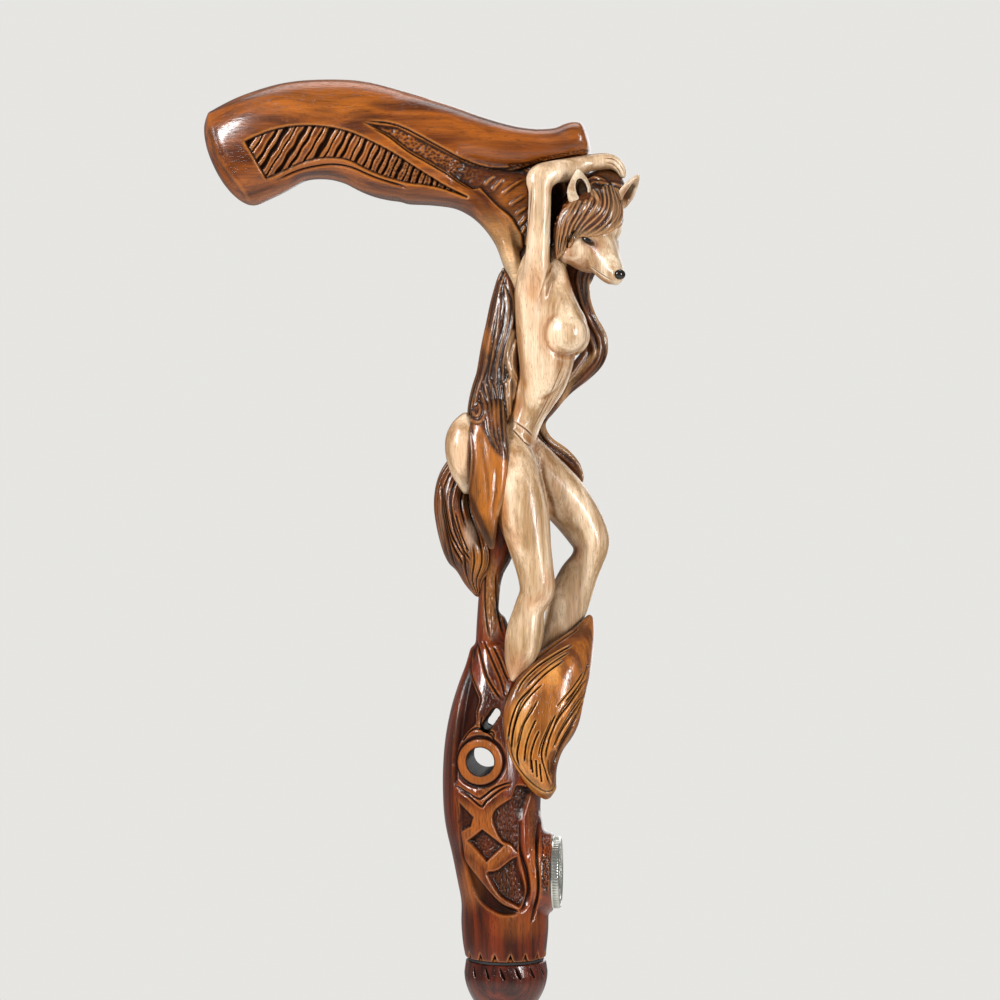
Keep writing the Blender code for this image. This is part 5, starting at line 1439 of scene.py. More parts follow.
pale_tones = ("d6bb9c", "b38a5c", "74400f", "ecdac0")
pale_ash = lacquered_ash("pale_ash", pale_tones, (("honey", "a8682c", 0.88),), ring=0.28, gloss=0.2)
body = [TORSO, NEAR_CHEST, FAR_CHEST, NEAR_FLANK, FAR_FLANK, NEAR_HIP, FAR_HIP, NEAR_LEG, FAR_LEG]
figure_forms = [limb(rows) for rows in body] + [limb(rows, square=2.5) for rows in (NEAR_ARM, FAR_ARM)]
figure_forms += [ball((x, side * y, z), radii) for side in (-1, 1) for x, y, z, *radii in BUST]
figure = skin("carved_figure", figure_forms, 0.75, 0.42)
carved(figure, carve_figure, pale_ash, "figure_wood", "figure_body", relief=((8, 0.12), (90, 1.2)))

# The fox head: it looks down and towards the shown side from under its hair, with both ears up.
# It has its own frame: forward along the snout, left and up, about the skull's centre.
HEAD_CENTRE = np.array([33.4, -2.0, 276.4])
HEAD_TURN, HEAD_PITCH = math.radians(52), math.radians(45)
SKULL_RADII = (10.4, 10.4, 9.8)
SNOUT = [
    (1, 0, -2.5, 9, 9.2),
    (7, 0, -4.6, 8, 8.2),
    (12, 0, -5.5, 7.1, 6.9),
    (17, 0, -5.8, 5.9, 5.5),
    (21.5, 0, -5.5, 4.9, 4.4),
    (24.4, 0, -4.9, 3.6, 3.2),
]
RUFF = [
    (31, -3.4, 265.6, 8, 6),
    (26.6, -5.6, 265.2, 6.2, 5.8),
    (22.6, -7.2, 264.4, 3.2, 4.2),
]
CHEEK, CHEEK_RADII = (4.6, 6.2, -6.6), (6.0, 4.6, 5.2)
NOSE_PLACE, NOSE_RADIUS = (25.6, 0.0, -3.0), 1.9
EYE_PLACE, EYE_RADII = (8.2, 6.6, -1.6), (2.2, 0.9, 0.85)
EYE_YAW, EYE_LEAN = 40, -12
EAR_FOOT, EAR_TIP = np.array([-3.0, 9.2, 7.4]), np.array([-6.4, 13.6, 18.8])
EAR_HALF_WIDTHS = ((0, 4.1), (0.35, 4.9), (0.65, 3.9), (0.88, 2.2), (1, 1))
EAR_SIDE = np.array([-0.15, 1.0, -0.2])


def head_axes():
    """The head's forward, left and up directions, as columns."""
    flat = np.array([math.cos(HEAD_TURN), -math.sin(HEAD_TURN), 0.0])
    left = np.cross((0.0, 0.0, 1.0), flat)
    forward = flat * math.cos(HEAD_PITCH) - np.array([0.0, 0.0, math.sin(HEAD_PITCH)])
    return np.stack([forward, left, np.cross(forward, left)], 1)


def on_head(place):
    return HEAD_CENTRE + head_axes() @ np.array(place, float)


def head_limb(rows, side=(0, 1, 0), **how):
    """A tapering form given in the head's frame."""
    placed = [(*on_head(row[:3]), *row[3:]) for row in rows]
    return limb(placed, side=head_axes() @ np.array(side, float), **how)


def ear(sign):
    """A pointed ear, flat from front to back."""
    rows = []
    for share, half in EAR_HALF_WIDTHS:
        spot = (EAR_FOOT + (EAR_TIP - EAR_FOOT) * share) * (1, sign, 1)
        rows.append((*spot, 1.5 - 0.6 * share, half))
    return head_limb(rows, side=(EAR_SIDE[0], sign * EAR_SIDE[1], EAR_SIDE[2]))


def carve_head(carve):
    x, z = carve.where.T
    local = (carve.points - HEAD_CENTRE - (0, 0, CARVING_FOOT)) @ head_axes()
    out = carve.out @ head_axes()
    forward, left, up = local[:, 0], np.abs(local[:, 1]), local[:, 2]
    carve.facing[:] = 1.0
    spots = np.stack([forward, left, up], 1)
    # The hollows of the ears
    along = EAR_TIP - EAR_FOOT
    length = np.linalg.norm(along)
    along = along / length
    share = (spots - EAR_FOOT) @ along / length
    side = unit(EAR_SIDE - EAR_SIDE @ along * along)
    front = np.cross(side, along)
    front = front * np.sign(front[0])
    half = np.interp(share, [w[0] for w in EAR_HALF_WIDTHS], [w[1] for w in EAR_HALF_WIDTHS])
    across = np.abs((spots - EAR_FOOT) @ side - 0.15 * half) / np.maximum(half, 0.1)
    mirrored_out = np.stack([out[:, 0], out[:, 1] * np.sign(local[:, 1]), out[:, 2]], 1)
    dish = (1 - ease(0.3, 0.66, across)) * ease(0.0, 0.3, share) * ease(0, 0.22, 0.86 - share)
    dish = dish * ease(0.1, 0.5, mirrored_out @ front) * (local[:, 1] > 0)
    carve.cut(1.3 * dish, 0.8 * ease(0.3, 1.0, dish))
    near_ear = np.hypot((x - 28.5 + 0.16 * (z - 289.6)) / 2.4, (z - 289.6) / 4.3)
    near_ear = (1 - ease(0.72, 1.05, near_ear)) * (local[:, 1] < -6.0) * (share > -0.1)
    carve.cut(1.7 * near_ear, 0.97 * ease(0.05, 0.6, near_ear))
    # The almond eyes between their lids, and the stain that runs from each down the snout
    eye_cos, eye_sin, lean_cos, lean_sin = 0.764, 0.644, 0.978, 0.208
    along_eye, over_eye = (forward - 8.6) * eye_cos - (left - 6.3) * eye_sin, up + 1.45
    slit, rise = lean_cos * along_eye + lean_sin * over_eye, lean_cos * over_eye - lean_sin * along_eye
    at_eye = ease(0.0, 1.5, 5.0 - np.abs(left - 6.3)) * (forward > 4)
    oval = np.hypot(slit / 2.9, rise / 1.0)
    carve.depth -= 0.45 * np.clip(1 - np.abs(oval - 1.5) / 0.6, 0, 1) * at_eye * ease(-0.6, 0.6, rise)
    carve.cut(0.6 * (1 - ease(0.6, 1.2, oval)) * at_eye, 0.95 * (1 - ease(0.6, 1.15, oval)) * at_eye)
    carve.cut(0.0, 0.6 * (1 - ease(1.0, 1.9, oval)) * at_eye)
    tear = np.hypot((slit - 2.2) / 5.6, (rise + 0.3) / 2.6)
    carve.wash("honey", np.minimum(1.0, 1.8 * (1 - ease(0.0, 1.0, tear))) * at_eye)
    # The mouth's line under the snout, fading towards the cheek
    plan = np.stack([forward, up], 1)
    carve.groove(
        [(26.4, -5), (24.6, -6), (20, -7.2), (14, -8.4)], 0.8, 0.45, 0.55, ends=0.35, where=plan
    )
    brow = np.sqrt((forward - 6.0) ** 2 + (left - 5.6) ** 2 + (up - 1.6) ** 2)
    carve.depth -= 0.6 * (1 - ease(0.5, 3.2, brow))
    bridge = np.clip(1 - left / 3.0, 0, 1) * ease(10, 13, forward) * ease(0, 3, 24 - forward)
    bridge = bridge * (out[:, 2] > 0)
    carve.depth -= 0.25 * bridge
    # Short strokes of fur on the cheeks and down the ruff
    spread = np.arctan2(up + 3.0, left + 0.001) * 8 + 0.5 * np.sin(forward * 0.8)
    stroke = 1 - ease(0.0, 0.6, 2 * np.abs(spread - np.round(spread)))
    place = ease(0, 3, 3.0 - forward) * ease(0, 2, -up - 5.0)
    carve.cut(0.25 * stroke * place, 0.25 * stroke * place, add=True)
    # Honey stain and painted shade under the jaw, round the eyes and under the fringe
    near = local[:, 1] < 3.0
    under_jaw = along_line(carve.where, [(21, 264), (27, 261), (33, 257), (38, 254.6)], 2.6)
    carve.wash("honey", 0.8 * under_jaw * near)
    on_face = patches(
        carve.where,
        (33.6, 267.8, 3.2, 4, 0.9), (23, 266, 4, 4, 0.8), (28.4, 262.6, 4, 3, 0.5),
        (29, 272.4, 4, 1.6, 0.8), (41.8, 274, 2.6, 4, 0.5),
    )
    carve.wash("honey", on_face * near)
    carve.wash("honey", patches(carve.where, (45.2, 287.4, 3.2, 4.6, 1)) * (local[:, 1] > 3.0))


face_tones = ("d6c3a8", "b89066", "74400f", "ecdec8")
face_ash = lacquered_ash("face_ash", face_tones, (("honey", "985a24", 0.88),), ring=0.3, gloss=0.27)
head_turn = head_axes()
face_forms = [
    ball(on_head((0, 0, 0)), SKULL_RADII, head_turn),
    head_limb(SNOUT),
    limb(RUFF),
    *[ball(on_head((CHEEK[0], s * CHEEK[1], CHEEK[2])), CHEEK_RADII, head_turn) for s in (-1, 1)],
]
fox_head = skin("carved_head", [*face_forms, ear(-1), ear(1)], 0.5, 0.26, rounds=6)
carved(fox_head, carve_head, face_ash, "figure_wood", "fox_head", relief=((7, 0.08), (60, 0.7)))

# The nose and the eyes: small turned beads of black horn, polished and glued in.
# The nose is nearly a ball and the eyes are almonds, each set half its depth into the wood.


def polished_horn():
    """Buffalo horn, polished: near black, with a faint brown streak."""
    made, tree, shader, place = new_material("polished_horn")
    tone = blend(tree, noise(tree, place, 900.0, 2.0)["Fac"], linear("0b0a0a"), linear("241a15"))
    fill(tree, shader, {"Base Color": tone, "Roughness": 0.12})
    return made


horn = polished_horn()
right_place = (EYE_PLACE[0], -EYE_PLACE[1], EYE_PLACE[2])
for name, node, place, radii, yaw, lean in (
    ("nose_horn", "nose_bead", NOSE_PLACE, (NOSE_RADIUS, NOSE_RADIUS * 1.2, NOSE_RADIUS), 0, 0),
    ("right_eye_horn", "eye_right", right_place, EYE_RADII, EYE_YAW, EYE_LEAN),
    ("left_eye_horn", "eye_left", EYE_PLACE, EYE_RADII, -EYE_YAW, EYE_LEAN),
):
    bpy.ops.object.select_all(action="DESELECT")
    spot = (Vector(on_head(place)) + Vector((0, 0, CARVING_FOOT))) * MM
    bpy.ops.mesh.primitive_uv_sphere_add(segments=40, ring_count=24, radius=MM, location=spot)
    bead = bpy.context.object
    bead.name = name
    bead.scale = radii
    turns = Matrix.Rotation(math.radians(yaw), 3, "Z") @ Matrix.Rotation(math.radians(lean), 3, "Y")
    bead.rotation_euler = (Matrix(head_turn.tolist()) @ turns).to_euler()
    finish_piece(settle(bead), "head", horn, "bead", node)

# The hair: a cap over the skull, a mane down the back, a lock under the near ear and a drape on the hip.
# It is cut in fine twisting locks over a smooth ground, stained dark, rubbed back on the ridges and given
# painted highlights along them.
CAP_PLACE, CAP_RADII = (-2.7, -1.4, 4.1), (11.4, 12.0, 10.2)
CROWN, CROWN_RADII = (36.6, 3.0, 289.6), (9.2, 9.4, 8.8)
MANE = [
    (26, 0, 284, 7, 7.4),
    (18, 0, 276, 6.4, 7.2),
    (10, 0, 267, 6, 7.4),
    (3.4, 0, 258, 6, 8.2),
    (1, 0, 248, 6.8, 10.4),
    (-0.2, 0, 238, 7.6, 12),
    (-1.8, 0, 229, 7.8, 12.4),
    (-3.2, 0, 219.5, 8, 12.2),
    (-5, 0, 213, 8.2, 12.4),
    (-6.4, 0, 205.5, 8.2, 12.8),
    (-6.6, 0, 197.5, 7.4, 13.4),
    (-5, 0, 190, 5, 13.8),
    (-3.4, 0, 183, 3, 14.2),
]
STRAND_BED = [
    (2.4, 0, 246, 2.4, 7),
    (2.7, 0, 238, 3, 8.6),
    (2.6, 0, 229, 3.4, 9.4),
    (2.2, 0, 220, 3.4, 9.4),
    (1, 0, 212, 3.4, 9.6),
    (-0.6, 0, 205, 3, 9.6),
]
DRAPE = [
    (-5.4, -9.4, 206, 6, 4),
    (-5.6, -12.2, 197, 7.4, 4),
    (-5.4, -14.4, 187, 7.7, 3.5),
    (-5.6, -15.2, 177, 6.7, 2.9),
    (-6, -15.2, 168, 4.8, 2.6),
    (-5, -14.6, 160.5, 2.8, 2.1),
    (-4.2, -13.6, 156, 1.2, 1.3),
]
NEAR_LOCK = [
    (26, -12, 280, 5, 3),
    (22, -11.6, 273, 3.8, 3),
    (20.6, -10.8, 267.4, 2.6, 2.6),
    (19.8, -9.8, 262.6, 1.2, 1.6),
]
FAR_LOCK = [
    (36, 7, 270, 4.2, 3),
    (26.6, 9, 259, 7, 3.2),
    (26.4, 12.4, 250, 5.6, 3.2),
    (28.8, 15.2, 242, 4.9, 3),
    (32, 15.6, 234, 5.6, 3),
    (31.8, 15.4, 227.6, 5.2, 3),
    (27, 14.4, 221.6, 4.8, 2.9),
    (21, 13, 215.8, 4, 2.7),
    (16.4, 12.2, 210, 3.6, 2.6),
    (12, 12.2, 202.5, 2.9, 2.5),
    (14.2, 14.4, 195.6, 3.2, 2.4),
    (20.8, 16.4, 190.2, 3.5, 2.3),
    (25.6, 17, 184.8, 3.2, 2),
    (28, 16.8, 180, 1.8, 1.3),
]
# The locks as the camera sees them, on the cap from the parting outward and on the mane from the top down
CAP_LOCKS = [
    [(24.7, 285.6), (23.3, 283.3), (21.3, 281), (20.2, 278), (19.2, 272), (18.9, 264.5)],
    [(25.8, 285.2), (23.8, 281.4), (22, 278.5), (20.9, 275), (20.2, 270), (20, 263.8)],
    [(27.6, 285.2), (25.6, 281.4), (23.8, 278.5), (22.6, 275.4), (21.7, 271), (21.4, 265.6)],
    [(29.9, 285.6), (28, 281.8), (25.9, 278.5), (24.2, 275.4), (23.3, 272), (23.3, 268.4)],
    [(31.9, 286.4), (30.4, 283.3), (28.2, 279.5), (26.2, 276.4), (24.9, 273.3), (24.6, 269.6)],
    [(32.4, 289.6), (34.3, 286.2), (33.3, 283), (30.6, 279.3), (28.1, 276.3), (26.3, 273.2), (25.7, 270.6)],
    [(36.2, 290.4), (36.9, 285.4), (36, 282), (33, 278.7), (30.1, 276.2), (27.7, 273.7), (26.6, 271.6)],
    [(37.4, 290.8), (38.3, 285.4), (37.5, 281.2), (35, 277.7), (31.7, 274.9), (29.2, 273), (28, 271.8)],
    [(38.8, 291), (40, 285.4), (39.7, 281.2), (38, 277.8), (35, 275), (32, 272.9), (30, 271.9)],
    [(39.8, 290.6), (41.4, 285.2), (41.6, 281.2), (40.3, 278.3), (38.2, 275.5), (35.2, 273.2), (32.8, 272.2)],
    [(40.6, 290.2), (42.9, 285.2), (43.5, 281.2), (42.7, 278.3), (40.7, 275.5), (38.2, 273.8), (36.2, 273)],
    [(41.4, 290), (43.8, 285.7), (44.8, 282), (44.5, 279.3), (43.2, 276.8), (41.6, 275)],
    [(38.4, 291.6), (35.2, 292.2), (32.2, 291.6), (29.4, 288.8)],
    [(37.4, 292.6), (33.6, 294), (30.6, 293.4)],
    [(39.6, 292), (43, 290.6), (45.6, 287), (46, 283)],
]
MANE_LEFT = [(-1.6, 261), (-4, 255.4), (-5, 248.5), (-6.9, 238), (-8.5, 229), (-10, 219.6), (-11, 212)]
MANE_RIGHT = [(-0.4, 261), (1.6, 253.3), (3.6, 247), (3.6, 239), (1.6, 231), (0.4, 224), (-0.4, 214)]
MANE_FOOT = [
    [(-0.6, 217), (0, 212.7), (0.4, 206.4), (0.5, 198), (1.4, 190)],
    [(-2.4, 216), (-1.6, 209), (-1.2, 202), (-0.6, 194.8), (0.4, 189.5)],
    [(-4.2, 217), (-3.3, 211), (-2.8, 202.7), (-1.9, 195), (-0.7, 190)],
    [(-6, 218), (-4.8, 210.5), (-4.2, 203), (-3.4, 196.4), (-1.6, 190.6)],
    [(-8, 217.5), (-6.4, 210), (-5.6, 203.6), (-5, 197.6), (-2.9, 191.4)],
    [(-9.6, 215.5), (-7.8, 209.4), (-6.8, 204), (-6.2, 199), (-4.6, 194.4)],
    [(-13.8, 210.6), (-14.2, 206.6), (-12.8, 203.2), (-10, 202.4), (-8, 205), (-8.6, 210), (-11, 213)],
    [(-12.2, 209.6), (-12.4, 206.6), (-10.8, 204.6), (-9.6, 207), (-10.6, 210.2)],
    [(-11, 215.6), (-13.8, 212.8), (-15, 208.6), (-14.6, 204), (-13.6, 200)],
]
PALE_STRANDS = [
    [(-13.4, 200), (-12.6, 190), (-13.2, 180), (-13.4, 174), (-11, 166), (-8.4, 160), (-6.2, 155)],
    [(2.7, 236.4), (0.9, 230.6), (0.6, 225.4), (1.8, 221), (4, 216.4), (3, 211.6)],
    [(3.6, 233), (2.2, 227.6), (2.4, 222.6), (4.8, 217), (4.2, 212.4)],
    [(0.7, 218), (1.2, 212.7), (1.4, 205), (1.3, 197), (2.9, 189), (2.2, 182), (-0.4, 175), (-2.6, 168)],
]
DRAPE_FACE = [
    (-13, 203), (-9.6, 202), (-6.6, 197.6), (-4.6, 193.4), (-1.6, 190), (1.4, 188), (1.2, 181),
    (-1.6, 172), (-3.6, 162), (-5, 156), (-9, 165), (-14, 176), (-12.6, 188),
]


def ground_of(*forms):
    """The smooth ground that locks are laid on, ready to be met by lines of sight."""
    ground = skin("ground", forms, 0.9, 0.9)
    tree = BVHTree.FromPolygons(points_of(ground).tolist(), [tuple(p.vertices) for p in ground.data.polygons])
    bpy.data.objects.remove(ground)
    return tree


def laid_on(ground, spot, mirror):
    """The place on the ground that the camera sees at a spot, or the nearest to it on the ground's edge."""
    level = np.array([VIEW_AIM[0], 0.0, VIEW_AIM[2]])
    eye = level + np.array(view_back) * VIEW_DISTANCE
    aim = level + np.array(view_right) * (spot[0] - level[0]) + (0.0, 0.0, spot[1] + CARVING_FOOT - level[2])
    ray = unit(aim - eye)
    if mirror:
        eye, ray = eye * (1, -1, 1), ray * (1, -1, 1)
    met = ground.ray_cast(Vector(eye), Vector(ray))[0]
    if met is None:
        reaches = np.arange(VIEW_DISTANCE - 22, VIEW_DISTANCE + 22, 1.5)
        found = [ground.find_nearest(Vector(eye + ray * reach)) for reach in reaches]
        met = min(found, key=lambda spot_found: spot_found[3])[0]
    return np.array(met) - (0, 0, CARVING_FOOT)


def laid_lock(ground, line, size, mirror, blunt_start=0.15):
    """One lock of hair lying on the ground, thin at both ends."""
    line = through(line, 4)
    shares = np.linspace(0, 1, len(line))
    sizes = size * np.sin(math.pi * (blunt_start + (0.94 - blunt_start) * shares)) ** 0.6
    rows = [(*laid_on(ground, spot, mirror), wide, wide) for spot, wide in zip(line, sizes)]
    return limb(rows, steps=2, sides=16)


def round_lock(rows, angle, twist, begin, end, size, sway):
    """One long lock of hair that winds round a form, from one share of its length to another."""
    dense = through(rows, 6)
    centres, _, across, aside = spine_frame(dense, (0, 1, 0))
    shares = np.linspace(0, 1, len(dense))
    stops = np.linspace(begin, end, max(int((end - begin) * len(dense)), 4))
    out = []
    for k, share in enumerate(stops):
        turn = angle + twist * (share - begin) + sway * math.sin(6.0 * share + 3.0 * angle)
        spot, to_across, to_aside, (wide, deep) = [
            np.array([np.interp(share, shares, column) for column in held.T])
            for held in (centres, across, aside, dense[:, 3:])
        ]
        place = spot + to_across * wide * math.cos(turn) + to_aside * deep * math.sin(turn)
        taper = math.sin(math.pi * (0.10 + 0.86 * k / (len(stops) - 1))) ** 0.6
        out.append((*place, size * taper, size * taper))
    return limb(out, steps=2, sides=16)


def slimmer(rows, across, aside):
    """A form's rows, with its half sizes made less."""
    return [(x, y, z, wide - across, deep - aside) for x, y, z, wide, deep in rows]


def six_of(lock):
    """Six places at even steps along a lock."""
    return through(lock, 12)[::12 * (len(lock) - 1) // 5]


def mane_locks(ground):
    """The mane's fine locks: all round its back, and side by side on each side down to the curl."""
    locks = []
    inner = slimmer(MANE, 0.8, 0.8)
    for k in range(16):
        angle, twist = math.pi + (k - 7.5) * 0.13, 0.2 * math.sin(1.9 * k)
        begin, size = 0.27 + 0.02 * math.sin(5 * k), 0.8 + 0.2 * math.sin(3.7 * k + 1.0)
        locks.append(round_lock(inner, angle, twist, begin, 0.93, size, 0.05))
    left, right = through(MANE_LEFT, 2), through(MANE_RIGHT, 2)
    for mirror in (False, True):
        for k in range(9):
            share = (k + 0.35 + 0.25 * math.sin(4.1 * k)) / 8.6
            line = left + (right - left) * share
            line[:, 0] += 0.35 * np.sin(line[:, 1] * 0.17 + 2.2 * k)
            locks.append(laid_lock(ground, line[k % 3:], 0.72 + 0.22 * math.sin(2.9 * k), mirror))
    return locks


def carve_hair(carve):
    x, z = carve.where.T
    carve.facing[:] = 1.0
    carve.wash("orange", 0.95 * ease(0, 1.5, inside(carve.where, DRAPE_FACE)))
    carve.dab("orange", (-7, 233, 2.6, 7, 0.7), (-4, 205, 2, 6, 0.5))
    fringe = along_line(carve.where, [(27.4, 272), (33, 272.4), (38, 273.6), (42.6, 276.6)], 3.0)
    carve.wash("pale", 0.85 * fringe * (z > 268))
    carve.dab("pale", (41.4, 281, 3.6, 8, 0.5), (21, 266.6, 3.6, 5, 0.4))
    # A painted highlight along the lock beside the parting.
    parting_highlight = [(31.6, 289.4), (33.7, 286.8), (35, 284.9), (33.7, 282), (30.4, 279.2)]
    carve.streak("pale", 0.6, parting_highlight, 0.9)
    # Along each lock's crest a carved ridge and a pale painted highlight.
    for line in CAP_LOCKS[:12]:
        lit = [(u + 0.35, v) for u, v in line]
        carve.ridge(lit, 0.8, 0.16, ends=0.2)
        carve.streak("pale", 0.7, lit, 0.5)
    for line in (
        [(20, 273), (19.6, 268.4), (19.3, 264.4)],
        [(21.3, 273), (20.6, 269), (20.1, 265)],
        [(22.7, 272.6), (21.9, 269), (21.3, 266)],
        [(25.9, 274.6), (24.2, 272), (23.2, 269.4), (22.6, 266.8)],
    ):
        carve.groove(line, 0.9, 0.3, 0.5, ends=0.15)
    for line in PALE_STRANDS[1:]:
        carve.streak("pale", 0.9, line, 1.5)
    # The drape's soft folds, painted shade on the drape's edges and low on the mane, and painted shade in the
    # hollow between the arms
    for line in (
        [(-9.6, 200), (-8.4, 190), (-7, 180), (-6, 168)],
        [(-3.6, 190), (-3.4, 182), (-4.4, 172), (-5.2, 162)],
    ):
        carve.groove(line, 4.0, 0.5, 0.0, ends=0.3)
    shaded = [(-6.4, 160, 4, 10, 0.4), (-12, 176, 2.6, 14, 0.5), (-7, 218, 6, 14, 0.35)]
    carve.scorch_and_shade(patches(carve.where, *shaded))
    between_arms = np.abs(carve.points[:, 1]) < 8.5
    carve.scorch_and_shade(0.9 * ease(0, 2, 22.6 - x) * ease(0, 2, z - 262.0) * between_arms)


def carve_far_lock(carve):
    carve.facing[:] = 1.0
    for strength, line, reach in (
        (0.8, [(31, 256), (31.6, 248), (36, 237), (37.4, 227), (30, 218)], 2.0),
        (0.9, [(33, 230.6), (28, 225), (22.4, 218), (19, 208)], 2.0),
        (0.9, [(13.5, 200.6), (17.6, 195.8), (26, 189.6), (29.4, 180)], 3.4),
    ):
        carve.streak("pale", strength, line, reach)


hair_ash = lacquered_ash(
    "hair_ash",
    ("4e230c", "281005", "0a0402", "ad7440"),
    (("orange", "a5601f", 0.92), ("pale", "cda070", 0.8)),
    ring=0.3,
    gloss=0.17,
)
cap_forms = [
    ball(on_head(CAP_PLACE), tuple(r - 0.9 for r in CAP_RADII), head_turn),
    ball(CROWN, tuple(r - 0.9 for r in CROWN_RADII)),
    ball((28.4, 2.6, 289.6), (7.0, 6.4, 7.2)),
    ball((20.6, 2.0, 284.6), (6.0, 6.0, 8.0)),
    limb(slimmer(NEAR_LOCK, 0.6, 0.6)),
]
cap_ground = ground_of(*cap_forms, *face_forms)
for mirror in (False, True):
    for line in CAP_LOCKS:
        cap_forms.append(laid_lock(cap_ground, line, 0.85, mirror))
    for line, beside in zip(CAP_LOCKS[:11], CAP_LOCKS[1:12]):
        cap_forms.append(laid_lock(cap_ground, (six_of(line) + six_of(beside)) / 2, 0.6, mirror))
    # A thick lock closes the notch between the fringe and the lock under the ear
    filler = [(27.4, 275.4), (25.8, 273.2), (24.6, 270.8), (23.6, 268)]
    cap_forms.append(laid_lock(cap_ground, filler, 1.5, mirror))
cap = skin("carved_cap", cap_forms, 0.26, 0.22, rounds=1, last_rounds=1)
carved(cap, carve_hair, hair_ash, "hair_wood", "hair", relief=((14, 0.07), (60, 0.7)))
mane_forms = [limb(slimmer(MANE, 1.6, 1.2), sides=96), limb(STRAND_BED), limb(DRAPE, square=2.6)]
mane_ground = ground_of(*mane_forms)
for mirror in (False, True):
    for line in MANE_FOOT:
        mane_forms.append(laid_lock(mane_ground, line, 0.8, mirror, 0.3))
    for line in PALE_STRANDS:
        mane_forms.append(laid_lock(mane_ground, line, 0.65, mirror, 0.3))
mane = skin("carved_mane", mane_forms + mane_locks(mane_ground), 0.32, 0.27, rounds=1, last_rounds=1)
carved(mane, carve_hair, hair_ash, "hair_wood", "hair", relief=((12, 0.08), (60, 0.7)))
thin_lock = slimmer(FAR_LOCK, 1.1, 1.1)
lock_forms = [limb(thin_lock)]
for k in range(10):
    turn, end, size = 2 * math.pi * k / 10, 0.97 - 0.05 * (k % 3), 0.75 + 0.3 * (k % 2)
    lock_forms.append(round_lock(thin_lock, turn, 2.2, 0.01, end, size, 0.25))
far_lock = skin("carved_lock", lock_forms, 0.34, 0.26, rounds=3, last_rounds=2)
carved(far_lock, carve_far_lock, hair_ash, "hair_wood", "far_lock", relief=((10, 0.10), (60, 0.8)))

# The grip: a long palm swell with a knob over the figure's arms and a neck that runs down into its back.
# Its grain runs lengthways. A leaf-shaped panel of hatching and a narrow channel are sunk in each side.
GRIP = [
    (-102.8, 0, 302.8, 19.8, 14.2),
    (-92.5, 0, 307.6, 19.9, 15.1),
    (-80.5, 0, 312.1, 18.8, 14.8),
    (-67.7, 0, 313, 18.7, 14.5),
    (-55.5, 0, 311.3, 19.6, 14.5),
    (-43, 0, 306.8, 20.6, 14.2),
    (-31, 0, 304.4, 19.3, 13.8),
    (-20, 0, 301.6, 15, 12.4),
]
KNOB = [
    (-48, 0, 312.6, 14.4, 13.6),
    (-36, 0, 311.6, 14, 13.6),
    (-24, 0, 310.8, 11, 13.4),
    (-12, 0, 308.2, 9.2, 12.8),
    (0, 0, 305.4, 8.4, 12.2),
    (11, 0, 304.6, 7.4, 11.9),
    (20, 0, 305.4, 7, 12.2),
    (26, 0, 307.2, 7.4, 12.5),
    (29.6, 0, 308.2, 6.4, 11.6),
]
NECK = [
    (-36, 0, 291.8, 7.4, 11),
    (-26, 0, 290.4, 6.6, 10.6),
    (-16.2, 0, 287.4, 5.5, 10.2),
    (-7.4, 0, 281.4, 5.1, 9.8),
    (-0.6, 0, 271.6, 4.3, 9.9),
    (3.1, 0, 261.2, 3.9, 10.8),
    (7, 0, 250, 3, 10.4),
    (8.6, 0, 240, 2.2, 8),
]
WEB = [
    (-24, 0, 298, 7, 8.4),
    (-10, 0, 293, 9, 8),
    (0, 0, 288, 12, 7.8),
    (5.6, 0, 282, 12, 7.6),
    (8.4, 0, 272, 9, 7.2),
]
PANEL_TOP = [
    (-98.6, 307.9), (-89.7, 311.8), (-80, 313.9), (-69.4, 313.9), (-58.9, 311.8), (-49.1, 307.5),
    (-40.9, 303), (-32.8, 297.6), (-24.8, 292.7), (-14.3, 287.2),
]
PANEL_FOOT = [
    (-14.3, 286.2), (-26.3, 290.3), (-37.7, 291.9), (-45.8, 294), (-53.3, 297.2), (-60.5, 300.5),
    (-69.4, 300.8), (-76.7, 298.9), (-85.7, 294.8), (-90.1, 293.1),
]


